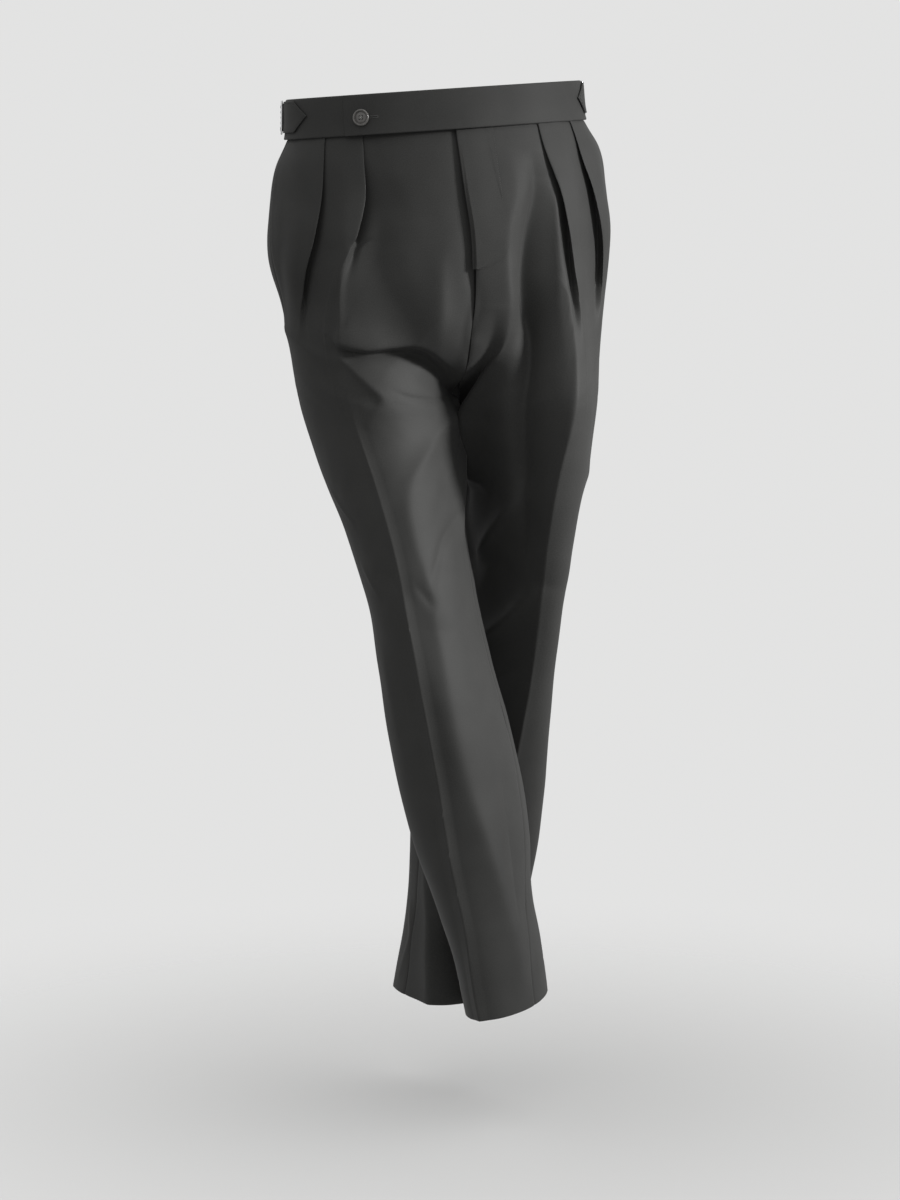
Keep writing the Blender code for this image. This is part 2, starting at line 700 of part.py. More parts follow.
def adjuster_strap(side):
    """The strap, from the buckle round towards the back."""
    lengths = ADJUSTER_BUCKLE + np.linspace(1.0, STRAP_LONG, 12)
    return adjuster_plate(f"adjuster_strap_{side}", side, lengths, np.full(12, STRAP_HIGH / 2))


def adjuster_plate(name, side, lengths, half_high):
    """A flat piece of cloth on the band: its half height at each length behind the tab's tip."""
    low = tab_low() + ADJUSTER_GAP
    outer, inner = [], []
    for across in np.linspace(-1, 1, 3):
        faces = ([], [])
        for length, half in zip(lengths, half_high):
            section = Section(side, ADJUSTER_DROP + across * half)
            run = section.at(ADJUSTER_TIP) + length
            for face, offset in zip(faces, (low + ADJUSTER_CLOTH, low)):
                face.append(section.place([run], [offset])[0])
        outer.append(faces[0])
        inner.append(faces[1])
    return wall_mesh(name, np.array(outer), np.array(inner))


def adjuster_buckle(side):
    """A slide buckle: a flat wire frame with a middle bar, across the end of the tab."""
    half_long, half_high, wire = BUCKLE_LONG / 2, BUCKLE_HIGH / 2, BUCKLE_WIRE
    inside = (half_long - wire - BUCKLE_BAR / 2) / 2 + BUCKLE_BAR / 2
    slot = (half_long - wire - BUCKLE_BAR / 2) / 2
    columns = [-half_long, -inside - slot, -inside + slot, inside - slot, inside + slot, half_long]
    heights = [-half_high, -half_high + wire, half_high - wire, half_high]
    shape = bmesh.new()
    verts = [[shape.verts.new((x * MM, y * MM, 0.0)) for x in columns] for y in heights]
    faces = []
    for r in range(3):
        for c in range(5):
            if r == 1 and c in (1, 3):
                continue
            faces.append(shape.faces.new((verts[r][c], verts[r][c + 1], verts[r + 1][c + 1], verts[r + 1][c])))
    made = bmesh.ops.extrude_face_region(shape, geom=faces)
    raised = [each for each in made["geom"] if isinstance(each, bmesh.types.BMVert)]
    bmesh.ops.translate(shape, verts=raised, vec=(0, 0, BUCKLE_THICK * MM))
    bmesh.ops.recalc_face_normals(shape, faces=shape.faces[:])
    mesh = bpy.data.meshes.new(f"adjuster_buckle_{side}")
    shape.to_mesh(mesh)
    shape.free()
    buckle = add_object(f"adjuster_buckle_{side}", mesh, "steel", smooth=False)
    run = Section(side, ADJUSTER_DROP).at(ADJUSTER_TIP) + ADJUSTER_BUCKLE
    stand_at(buckle, side, ADJUSTER_DROP, run, tab_low() + ADJUSTER_GAP + ADJUSTER_CLOTH + BUCKLE_GAP)


def main():
    for thing in list(bpy.data.objects):
        bpy.data.objects.remove(thing, do_unlink=True)
    for side in SIGN:
        for kind in ("front", "back"):
            add_object(f"{kind}_{side}", panel(kind, side), "wool")
        add_object(f"pocket_facing_{side}", pocket_facing(side), "wool")
        add_object(f"adjuster_tab_{side}", adjuster_tab(side), "wool")
        add_object(f"adjuster_strap_{side}", adjuster_strap(side), "wool")
        adjuster_buckle(side)
    add_object("waistband_right", waistband_right(), "wool")
    add_object("waistband_left", waistband_left(), "wool")
    add_object("fly_placket", fly_placket(), "wool")
    waist_button()


main()
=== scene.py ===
"""Pleated dress trousers, worn with the legs crossed: every visible surface, modelled on the frame's solids.

Lengths in the tables are millimetres. +X is the viewer's right, -Y the front, +Z up. A place on the cloth is
a drop, in millimetres below the middle of the waistband, and a beta, which goes round one half: 0 at the
centre front or inseam, 1 on the front crease, 2 on the side seam, 3 on the back crease, 4 at the centre back
or inseam again. A run is the distance round from beta 0, and an offset is how far out the cloth stands.
"""

import math

import bmesh
import bpy
import numpy as np
from mathutils import Matrix, Vector


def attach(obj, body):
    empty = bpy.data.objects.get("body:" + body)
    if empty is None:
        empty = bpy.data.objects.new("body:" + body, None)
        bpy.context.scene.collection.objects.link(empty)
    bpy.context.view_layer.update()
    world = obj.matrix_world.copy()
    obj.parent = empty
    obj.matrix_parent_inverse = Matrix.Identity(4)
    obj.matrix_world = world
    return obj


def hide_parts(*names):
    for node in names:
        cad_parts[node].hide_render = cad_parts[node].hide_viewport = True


MM = 0.001
SIGN = {"right": -1.0, "left": 1.0}

# The cloth, and the form under it
CLOTH = 0.8
CLOTH_AT_BAND = 0.5
BAND_HALF = 21.75
BAND_OFFSET = 0.4
BAND_CLOTH = 3.0
SEAM_GAP = 0.3
LEG_CLEARANCE = 1.5
SEAT_EASE = 0.5
SEAM_SOFT = 0.2
SEAT_SOFT = 9.0
LEG_SOFT = 9.0
WAIST_SEAM = 22.0
BACK_MEETS = 0.65
SEAM_MEETS = 0.17
CROTCH = 328.0
LEGS_START = 150.0
RISE_LATE = 3.0
CROTCH_PULL = 150.0
WAIST_ROLL = 0.066
WAIST_PITCH = 0.035
CREASE_SHOWN = {"right": 0.7, "left": 1.0}
CREASE_REACH = {"right": 10.0, "left": 46.0}
SEAMS_TURNED = 560.0
HEM = {"right": 982.0, "left": 1010.0}
HEM_TILT = {"right": 0.12, "left": -0.09}
HEM_TURNED = 38.0
HEM_CLOTH = 0.9
HEM_ROLL, HEM_ROLL_WIDE = 0.9, 1.4
HEM_SEWN, HEM_SEWN_WIDE = 0.25, 1.2
WAIST_TUCK, WAIST_TUCK_WIDE = 0.7, 1.6
INTO_BAND, INTO_BAND_DEEP = 1.9, 3.0
SEAM_ROLLS = ((0.8, 1.1), (0.35, 4.0))
SWAY, SWAY_LONG = 0.7, 95.0
FINE_SWAY, FINE_SWAY_LONG = 0.16, 34.0
SHARP_EDGE = 65.0
CLOSE_UNTIL, CLOSE_ROWS, WIDE_ROWS = 440.0, 191, 136
SWAY_SEED = {"right": 1.3, "left": 2.1}
BAND_SEED = {"right": 0.9, "left": 1.8}
BAND_ROWS, BAND_COLUMNS, TAB_COLUMNS = 13, 210, 60

# The small parts
POCKET_TOP = 30.0
POCKET_FOOT = 191.0
POCKET_DEPTH = 0.8
POCKET_GAPE = 1.2
POCKET_STRIP = (-11.0, 4.0)
BAND_BEND = 1.5
TAB_END = -95.0
TAB_CLOTH = 2.4
FLY_WIDE = 37.0
FLY_LAP = 3.0
FLY_J = 138.0
FLY_FOOT = 172.0
BUTTON_X = -75.8
BUTTON_DROP = 3.0
BUTTON_WIDE = 18.0
BUTTON_THICK = 3.4
ADJUSTER_TIP = 1.56
ADJUSTER_DROP = -2.8
ADJUSTER_POINT = 22.0
ADJUSTER_HIGH = 34.0
ADJUSTER_CLOTH = 1.6
ADJUSTER_GAP = 0.8
ADJUSTER_BUCKLE = 62.0
STRAP_HIGH = 30.0
STRAP_LONG = 70.0
BUCKLE_LONG = 16.0
BUCKLE_HIGH = 37.0
BUCKLE_WIRE = 2.4
BUCKLE_THICK = 1.8
BUCKLE_GAP = 1.0
BUTTON_HOLE = 1.9
BUTTON_HOLES = 2.1
BUTTONHOLE_ASIDE = 7.5
TAB_BACK = 58.0
STRAP_RISE = 3.4
STITCH_INSET = 2.2

# The camera and the stage, in metres
CAMERA_PLACE = (0.017, -3.600, -0.124)
CAMERA_TARGET = (0.017, 0.0, -0.543)
CAMERA_LENS = 97.08
CAMERA_SENSOR = 36.0
KEY_PLACE = (3.6, -1.0, 0.75)
KEY_TARGET = (0.0, 0.0, -0.45)
KEY_ENERGY = 6.0
KEY_SPREAD = 24.0
ROOM_AS_SEEN = 0.767
FLOOR_PLACE = (0.05, 0.0, -1.11)
FLOOR_RADIUS = 1.7

# The weave: its turn in degrees, and how fine the twill, its flecks and its clouds are
TWILL_TURN = 57.0
TWILL_SCALE = 520.0
FLECK_SCALE = 900.0
CLOUD_SCALE = 26.0


def table(text):
    """One array for each named column of a table that is written as text."""
    header, *rows = text.strip().splitlines()
    return dict(zip(header.split(), np.array([row.split() for row in rows], float).T))


def fold(before, after, sharp, over, line):
    """A fold. Its line is written as places with commas between them, each a beta, a drop and a height."""
    return before, after, sharp, over, np.array([place.split() for place in line.split(",")], float)


# The hips: how far the cloth reaches across (X), and in front of and behind the centre, at each drop below
# the middle of the waistband. yaw is how far the hips face +X; crease_* is the X of each crease.
HIPS = table("""
    drop left right front back  yaw crease_right crease_left
     -22 -159   158   110  110 12.5          -79         108
      22 -162   165   113  113 12.5          -77         112
      50 -174   181   118  121 13.0          -76         119
      90 -180   190   123  135 14.5          -75         133
     130 -183   195   126  147 16.5          -83         140
     170 -180   192   126  151 17.5          -96         144
     210 -171   188   123  149 16.5         -103         147
     250 -162   184   118  141 14.0         -104         147
     290 -154   181   112  129 12.5          -98         149
     328 -148   177   108  118 12.5          -89         151
""")

# Each leg: the section's centre, its half width and half depth, the crease beside the centre, how far the
# section leans (degrees) and how far the crease stands out.
LEGS = {
    "right": table("""
        drop centre_x centre_y half_wide half_deep crease_x lean crest
         240      -68      -22        97       120      -35    0   0.5
         328      -58      -20        90       114      -30    0   1.5
         396      -45      -38        79       109      -21   -2   2.5
         461      -31      -59        66       106      -16   -5   3.0
         533      -13      -78        60        98      -19   -8   3.5
         603        1      -90        62        88      -18  -10   4.0
         703       22      -96        67        78      -20  -11   4.5
         805       43      -95        61        77      -27  -15   5.0
         872       57      -91        51        79      -29  -19   5.0
         923       70      -88        48        77      -35  -23   5.0
        1000       83      -84        46        74      -35  -26   5.0
    """),
    "left": table("""
        drop centre_x centre_y half_wide half_deep crease_x lean crest
         240       99       12        86       126       54  -14   4.0
         328       97       16        81       121       50  -27   8.0
         396       92       20        76       112       45  -38  12.0
         461       84       25        70       102       45  -46  13.0
         546       73       34        67        90       46  -46  12.0
         639       60       42        69        78       48  -44  12.0
         713       54       46        73        71       43  -38  10.0
         798       46       48        73        66       39  -36   8.0
         856       41       46        69        66       36  -38   7.0
         943       28       42        65        63       36  -42   7.0
        1020       14       39        65        58       40  -44   7.0
    """),
}

# How far the left leg's side seam lies further back, in degrees
SEAM_EXTRA = table("""
    drop turn
     250    0
     328    9
     396   14
     546   11
     640    5
     713    0
""")

# Each pleat: the X of its folded edge, how far its layers overlap (below zero once it has opened flat), how
# far the upper layer stands out, how far the cloth under it dips, and how wide that dip shows.
PLEATS = {
    "right": {
        "inner": table("""
            drop across overlap lift dip mouth
              22    -76      24  1.7 0.0     5
              45    -76      22  2.1 1.0     7
              75    -75      18  2.9 4.0    14
             100    -75      13  4.0 7.0    17
             125    -81       7  5.6 6.0    15
             145    -87       0  7.0 3.0    12
             180    -97     -10  6.5 0.0     8
             215   -101     -18  5.0 0.0     8
             250   -101     -24  3.5 0.0     8
             290    -97     -26  1.5 0.0     8
             340    -86     -26  0.0 0.0     8
        """),
        "outer": table("""
            drop across overlap lift dip mouth
              22   -117      24  1.7 0.0     5
              55   -119      21  2.5 1.0     5
              85   -121      17  3.8 2.5     6
             127   -127      12  6.5 4.0     7
             171   -137       7  6.5 3.5     7
             205   -142       3  4.5 2.0     5
             228   -144      -2  2.0 0.8     5
             250   -143     -16  0.6 0.0     5
             275   -141     -24  0.0 0.0     5
        """),
    },
    "left": {
        "inner": table("""
            drop across overlap lift dip mouth
              22    111      24  1.7 0.0     5
              45    117      21  2.5 0.5     5
              75    126      17  5.0 1.5     6
             104    136      13  7.0 3.0     8
             130    144      10  8.5 4.5    11
             156    151       7  9.0 5.0    13
             183    155       4  8.5 4.0    13
             210    156       0  7.5 2.0     9
             241    156      -8  6.0 0.0     6
             290    156     -18  3.0 0.0     6
             340    154     -24  0.0 0.0     6
        """),
        "outer": table("""
            drop across overlap lift dip mouth
              22    147      22  1.7 0.0     5
              41    153      20  2.4 0.5     5
              66    159      17  4.5 1.5     6
              98    169      13  7.0 3.5     8
             130    176      10  8.0 4.5     9
             155    179       6  8.0 4.0     8
             200    179       1  6.0 2.0     6
             240    178     -12  2.5 0.0     5
             275    178     -24  0.0 0.0     5
        """),
    },
}
PLEAT_FALL = 38.0

# Where each front crease runs, and how far it shapes the cloth on either side
CREASES = {
    "right": table("""
        drop beta
         300  1.0
         500 0.98
         690  1.0
         774 0.98
         844 0.95
         914  0.9
         985 0.89
    """),
    "left": table("""
        drop beta
         300  1.0
         420 0.99
         600 0.97
         725 0.95
        1020 0.95
    """),
}

# The creases and folds that the wearer's stance makes. Each is a ridge, or below zero a trough, along a line
# of places on the cloth. Its numbers are before, after, sharp and over: how fast it fades on either side
# (after is the side to the +X of a line that runs down, and above a line that runs to +X), how rounded its
# top is, and how far its top leans towards the side before.
FOLDS = {
    "right": [
        # the deep fold across the top of the thigh: the cloth above hangs over the cloth below
        fold(4.5, 24, 3.5, 8,
             "1.04 244 1, 0.94 249 5, 0.80 252 7, 0.62 249 8, 0.44 247 9, 0.30 252 10, 0.18 265 10, "
             "0.10 284 6, 0.04 300 1"),
        fold(12, 5, 2.5, 0,
             "1.02 258 -1, 0.94 261 -8, 0.80 261 -9, 0.66 260 -10, 0.50 261 -11, 0.33 266 -13, "
             "0.23 277 -14, 0.17 291 -14, 0.10 304 -12, 0.02 314 -7"),
        # the lower edge of the full cloth under it, which stands over the crease
        fold(4, 20, 2, 1.5,
             "1.00 262 1, 0.99 268 3, 0.94 276 4, 0.85 293 5, 0.78 308 5, 0.77 318 4, 0.84 328 2, "
             "0.93 344 0"),
        fold(3, 2, 1, 0, "0.72 300 0, 0.61 309 -1.2, 0.46 314 -1.6, 0.31 314 -1.6, 0.20 311 -0.6"),
        # soft shade beside the fly
        fold(26, 10, 6, 0, "0.24 135 0, 0.25 165 3, 0.23 198 6, 0.20 232 6, 0.18 258 2, 0.16 276 0"),
        # the ridge that the inner pleat runs out into
        fold(5, 22, 2, 0,
             "1.00 138 0, 1.00 155 3, 0.99 185 6, 0.97 221 6, 0.97 245 4, 0.98 262 1, 0.99 280 0"),
        # the hollow between the pleat and the fly
        fold(60, 40, 8, 0,
             "0.93 26 -2, 0.92 60 -6, 0.89 100 -10, 0.80 150 -11, 0.62 195 -9, 0.46 222 -6, 0.34 242 0"),
        # beside the fly and the seam under it
        fold(8, 8, 2, 0, "0.03 26 -1, 0.03 90 -3, 0.03 170 -3.5, 0.02 200 -2, 0.02 260 -3, 0.02 312 -2"),
        # from the hip towards the crease
        fold(9, 6, 4, 0, "2.10 226 0, 1.92 237 2.5, 1.59 249 2.5, 1.25 264 2, 1.02 272 0"),
        # from the crotch down the inside of the thigh, then beside the crease
        fold(9, 30, 3, 1,
             "0.02 322 5, 0.22 332 6, 0.42 347 6, 0.52 366 6, 0.61 382 6, 0.71 401 5, 0.76 428 5, "
             "0.75 465 3.5, 0.68 500 3, 0.65 520 3, 0.67 552 2.5, 0.70 590 1, 0.73 625 0"),
        fold(22, 26, 7, 0,
             "0.68 556 0, 0.74 609 8, 0.77 650 11, 0.77 685 12, 0.70 741 12, 0.57 797 12, 0.43 854 10, "
             "0.27 901 7, 0.18 940 4, 0.12 975 1"),
        fold(5, 4, 3, 0, "0.12 425 0, 0.25 442 -2, 0.44 462 -3, 0.56 488 -3, 0.64 508 -1"),
        # the full inside of the thigh
        fold(18, 8, 5, 0,
             "0.10 318 0, 0.10 335 6, 0.12 360 9, 0.14 395 9, 0.16 430 6, 0.18 470 2, 0.20 500 0"),
        # drag lines at the knee
        fold(18, 16, 10, 0, "1.30 490 0, 1.12 500 -2, 0.95 516 -3, 0.82 540 -3, 0.80 590 -1, 0.80 630 0"),
        fold(3, 5, 1.5, 0, "0.84 505 0, 0.76 515 -2, 0.68 528 -2, 0.64 536 0"),
        fold(4, 3, 1.5, 0, "1.75 405 0, 1.62 420 1.5, 1.50 434 1.6, 1.38 450 0"),
        fold(4, 3, 1.5, 0, "1.55 484 0, 1.45 496 1.8, 1.36 510 1.5, 1.27 526 0"),
        fold(14, 10, 6, 0, "1.40 560 0, 1.42 600 2, 1.40 660 2, 1.36 720 0"),
        fold(3, 3, 1.5, 0, "0.31 715 0, 0.31 744 -1, 0.29 800 -1.2, 0.24 850 -0.8, 0.20 885 0"),
        # the back: under the seat, behind the knee and down the calf
        fold(8, 14, 4, 2, "3.92 334 -3, 3.55 344 -6, 3.10 360 -6, 2.65 368 -4, 2.30 362 0"),
        fold(14, 9, 5, 0, "3.85 366 0, 3.50 382 -4, 3.05 398 -4, 2.60 402 0"),
        fold(14, 10, 5, 0, "3.80 246 0, 3.45 262 3, 3.00 286 4, 2.50 300 3, 2.15 292 0"),
        fold(16, 12, 8, 0, "2.55 40 0, 2.60 100 -2.5, 2.70 170 -3, 2.72 230 0"),
        fold(8, 10, 3, 1.5, "2.15 512 0, 2.50 522 -4, 3.00 536 -6, 3.50 530 -4, 3.85 518 0"),
        fold(9, 7, 4, 0, "2.45 556 0, 2.85 568 -4, 3.30 566 -4, 3.75 552 0"),
        fold(7, 7, 4, 0, "2.20 596 0, 2.60 590 2.5, 3.05 596 2.5, 3.40 610 0"),
        fold(13, 10, 6, 0, "3.50 600 0, 3.42 680 3, 3.45 780 3, 3.52 880 0"),
        fold(9, 7, 4, 0, "2.30 700 0, 2.38 780 2.5, 2.32 870 2, 2.30 930 0"),
        fold(6, 8, 3, 0, "2.60 924 0, 3.00 938 -2.5, 3.45 934 0"),
    ],
    "left": [
        # the full ridge beside the fly, its hollow, and the edge where it ends
        fold(30, 13, 5, 0,
             "0.66 45 0, 0.55 90 4, 0.37 137 7, 0.32 180 9, 0.32 217 11, 0.34 260 14, 0.36 300 19, "
             "0.36 330 24, 0.35 352 26, 0.34 376 25, 0.33 396 19, 0.33 416 0"),
        fold(6, 24, 5, 0,
             "0.88 50 0, 0.78 92 -8, 0.65 139 -17, 0.58 181 -24, 0.56 218 -26, 0.61 260 -21, "
             "0.63 313 -17, 0.65 350 -14, 0.68 400 -10, 0.71 450 -5, 0.74 510 0"),
        fold(7, 9, 2, 0, "0.24 390 0, 0.31 402 3, 0.40 412 4, 0.48 414 0"),
        fold(14, 9, 3, 0,
             "0.19 215 0, 0.20 243 -6, 0.21 269 -12, 0.24 296 -16, 0.25 325 -16, 0.22 350 -11, "
             "0.20 380 -5, 0.18 410 0"),
        # up to the crease, which the inner pleat runs out into
        fold(24, 14, 2, 0,
             "0.99 80 0, 0.94 120 6, 0.92 165 11, 0.93 205 14, 0.95 245 15, 0.97 290 13, 0.98 335 9, "
             "0.99 390 5, 1.00 450 3, 1.00 520 0"),
        fold(7, 7, 2, 0, "0.02 182 -1, 0.02 230 -2.5, 0.02 300 -2.5, 0.02 322 0"),
        # the under layer's own ridge beside the inner pleat
        fold(4, 3, 1.5, 0, "0.97 90 0, 0.95 112 1.6, 0.89 157 2, 0.86 206 1.8, 0.88 240 1, 0.92 290 0"),
        # gives way to the right thigh
        fold(16, 14, 6, 0,
             "0.10 318 0, 0.10 335 -8, 0.12 360 -12, 0.14 395 -12, 0.16 430 -8, 0.18 470 -3, 0.20 500 0"),
        # soft bands across the inside of the thigh and knee
        fold(14, 10, 6, 0, "0.78 400 0, 0.68 425 6, 0.54 452 11, 0.36 482 10, 0.20 505 0"),
        fold(12, 12, 9, 0, "0.04 478 0, 0.14 490 -7, 0.22 500 -7, 0.36 510 0"),
        fold(12, 9, 5, 0, "0.92 515 0, 0.84 530 6, 0.65 554 12, 0.46 576 10, 0.26 596 0"),
        fold(10, 12, 6, 0, "0.90 590 0, 0.70 616 -4, 0.50 632 -3, 0.35 645 0"),
        # the foot of the leg
        fold(14, 7, 3, 0, "0.06 790 0, 0.13 851 4, 0.26 917 8, 0.32 961 9, 0.39 1012 9"),
        fold(6, 30, 6, 0, "0.25 790 0, 0.40 860 -24, 0.48 925 -40, 0.55 977 -44, 0.60 1012 -44"),
        fold(5, 5, 3, 0, "3.86 900 0, 3.92 922 2, 3.97 942 2, 3.90 971 2, 3.82 990 1"),
        # the outer side and the back
        fold(9, 7, 4, 0, "1.55 380 0, 1.75 400 2, 2.05 410 2.5, 2.40 398 0"),
        fold(8, 6, 4, 0, "1.50 520 0, 1.80 540 -2, 2.20 548 -3, 2.55 540 0"),
        fold(8, 14, 4, 2, "2.25 356 0, 2.60 364 -4, 3.05 358 -6, 3.50 346 -6, 3.90 336 -3"),
        fold(14, 9, 5, 0, "2.45 396 0, 2.95 398 -4, 3.40 384 -4, 3.80 368 0"),
        fold(14, 10, 5, 0, "2.20 286 0, 2.60 296 3, 3.05 280 4, 3.50 258 3, 3.85 242 0"),
        fold(16, 12, 8, 0, "2.50 40 0, 2.58 110 -3, 2.62 180 -2.5, 2.70 240 0"),
        fold(8, 10, 3, 1.5, "2.20 548 0, 2.60 560 -4, 3.10 566 -6, 3.60 552 -4, 3.90 540 0"),
        fold(9, 7, 4, 0, "2.40 596 0, 2.85 604 -3.5, 3.30 600 -4, 3.70 588 0"),
        fold(12, 10, 6, 0, "2.55 620 0, 2.60 700 3, 2.52 800 3, 2.58 900 0"),
        fold(9, 12, 6, 0, "3.45 660 0, 3.40 740 2.5, 3.48 840 2.5, 3.42 920 0"),
        fold(8, 6, 3, 0, "2.60 950 0, 3.05 962 -2.5, 3.45 956 0"),
    ],
}

BETA = np.linspace(0.0, 4.0, 257)
NEAR_SEAM = np.clip(1 - BETA, 0.0, 1.0) ** 2 + np.clip((BETA - 2.4) / 1.6, 0.0, 1.0) ** 2
AWAY_FROM_SEAM = np.clip(np.minimum(BETA, 4 - BETA) / 0.4, 0.0, 1.0)


def read(rows, name, drop):
    """A column at any drop, as a smooth curve through the rows."""
    x, y = rows["drop"], rows[name]
    slope = np.gradient(y, x)
    drop = np.clip(drop, x[0], x[-1])
    i = np.clip(np.searchsorted(x, drop) - 1, 0, len(x) - 2)
    wide = x[i + 1] - x[i]
    s = (drop - x[i]) / wide
    start = (1 + 2 * s) * (1 - s) ** 2 * y[i] + s * (1 - s) ** 2 * wide * slope[i]
    end = s * s * (3 - 2 * s) * y[i + 1] + s * s * (s - 1) * wide * slope[i + 1]
    return start + end


def smoothstep(low, high, value):
    s = np.clip((value - low) / (high - low), 0.0, 1.0)
    return s * s * (3 - 2 * s)


def hip_half(side, drop):
    """Half of the hips' section from the centre front past the side seam to the centre back."""
    left, right = read(HIPS, "left", drop), read(HIPS, "right", drop)
    front, back = read(HIPS, "front", drop), read(HIPS, "back", drop)
    yaw = math.radians(read(HIPS, "yaw", drop))
    centre = 0.5 * (left + right)
    reach = math.sqrt((0.5 * (right - left)) ** 2 - (front * math.sin(yaw)) ** 2) / math.cos(yaw)
    along, across = front * math.sin(yaw), SIGN[side] * reach * math.cos(yaw)
    crease = read(HIPS, "crease_" + side, drop) - centre
    turn = math.atan2(across, along) - SIGN[side] * math.acos(crease / math.hypot(along, across))
    shift = math.pi / 4 - abs(turn)
    angle = BETA * math.pi / 4 - shift * np.sin(BETA * math.pi / 2)
    ahead = np.where(angle < math.pi / 2, front, back) * np.cos(angle)
    aside = SIGN[side] * reach * np.sin(angle)
    x = centre + ahead * math.sin(yaw) + aside * math.cos(yaw)
    y = -ahead * math.cos(yaw) + aside * math.sin(yaw)
    return np.stack([x, y], -1)


def leg_ring(side, drop):
    """A leg's section. At the crotch only the front crease is turned; further down the seams turn with it."""
    rows = LEGS[side]
    wide, deep = read(rows, "half_wide", drop), read(rows, "half_deep", drop)
    crease = math.asin(SIGN[side] * read(rows, "crease_x", drop) / wide)
    seams = smoothstep(CROTCH, SEAMS_TURNED, drop)
    near_crease = np.where(BETA < 2, np.sin(BETA * math.pi / 2) ** 2, 0.0)
    angle = (BETA - 1) * math.pi / 2 + crease * (seams + (1 - seams) * near_crease)
    if side == "left":
        near_side = np.where((BETA > 1) & (BETA < 3), np.sin((BETA - 1) * math.pi / 2) ** 2, 0.0)
        angle = angle + math.radians(read(SEAM_EXTRA, "turn", drop)) * near_side
    lean = math.radians(read(rows, "lean", drop))
    x = read(rows, "centre_x", drop) + SIGN[side] * wide * np.sin(angle)
    y = read(rows, "centre_y", drop) - deep * np.cos(angle + lean)
    return np.stack([x, y], -1)


def leg_from_crotch(side, drop):
    """The leg's section with its inseam drawn to the crotch point, less and less further down the leg."""
    ring = leg_ring(side, drop)
    point = 0.5 * (leg_ring("right", CROTCH)[0] + leg_ring("left", CROTCH)[0])
    pull = 1 - smoothstep(CROTCH, CROTCH + CROTCH_PULL, drop)
    return ring + pull * np.outer(NEAR_SEAM, point - ring[0])


def halves_at(drop):
    """Both halves at a drop no lower than the crotch, where the hips' shape turns into the legs'."""
    s = np.clip((drop - LEGS_START) / (CROTCH - LEGS_START), 0.0, 1.0)
    blend = smoothstep(0.0, 1.0, s ** (1 + RISE_LATE * NEAR_SEAM))[:, None]
    return {side: (1 - blend) * hip_half(side, drop) + blend * leg_from_crotch(side, drop) for side in SIGN}


def divide(drop):
    """The line that keeps the halves apart: a point on it and its unit normal, from the right to the left."""
    centres = {
        side: np.array([read(LEGS[side], "centre_x", drop), read(LEGS[side], "centre_y", drop)])
        for side in SIGN
    }
    across = centres["left"] - centres["right"]
    normal = across / np.linalg.norm(across)
    if drop <= CROTCH:
        front, back = halves_at(drop)["right"][[0, -1]]
        if np.linalg.norm(back - front) > 1.0:
            seam = (back - front) / np.linalg.norm(back - front)
            normal = np.array([seam[1], -seam[0]])
        return 0.5 * (front + back), normal
    reach = {side: np.max((leg_ring(side, drop) - centres[side]) @ (-SIGN[side] * normal)) for side in SIGN}
    meeting = centres["right"] + across * reach["right"] / sum(reach.values())
    away = smoothstep(CROTCH, CROTCH + 60, drop)
    return (1 - away) * halves_at(CROTCH)["right"][0] + away * meeting, normal


def seat_ease(drop):
    """How far the seat's cloth stands off its seam, above the crotch."""
    return SEAT_EASE * smoothstep(CROTCH - 110, CROTCH - 60, drop)


def pressed(side, ring, drop):
    """The section kept on its own side of the dividing line, flattened where it meets the other leg."""
    point, normal = divide(drop)
    inward = SIGN[side] * normal
    below = smoothstep(CROTCH, CROTCH + 120, drop)
    soft = SEAM_SOFT + SEAT_SOFT * (1 - below) * AWAY_FROM_SEAM + LEG_SOFT * below
    clearance = 0.5 * SEAM_GAP + seat_ease(drop)
    clearance += (LEG_CLEARANCE - clearance) * smoothstep(CROTCH, CROTCH + 20, drop)
    distance = (ring - point) @ inward
    kept = clearance + soft * np.logaddexp(0.0, (distance - clearance) / soft)
    return ring + np.outer(kept - distance, inward)


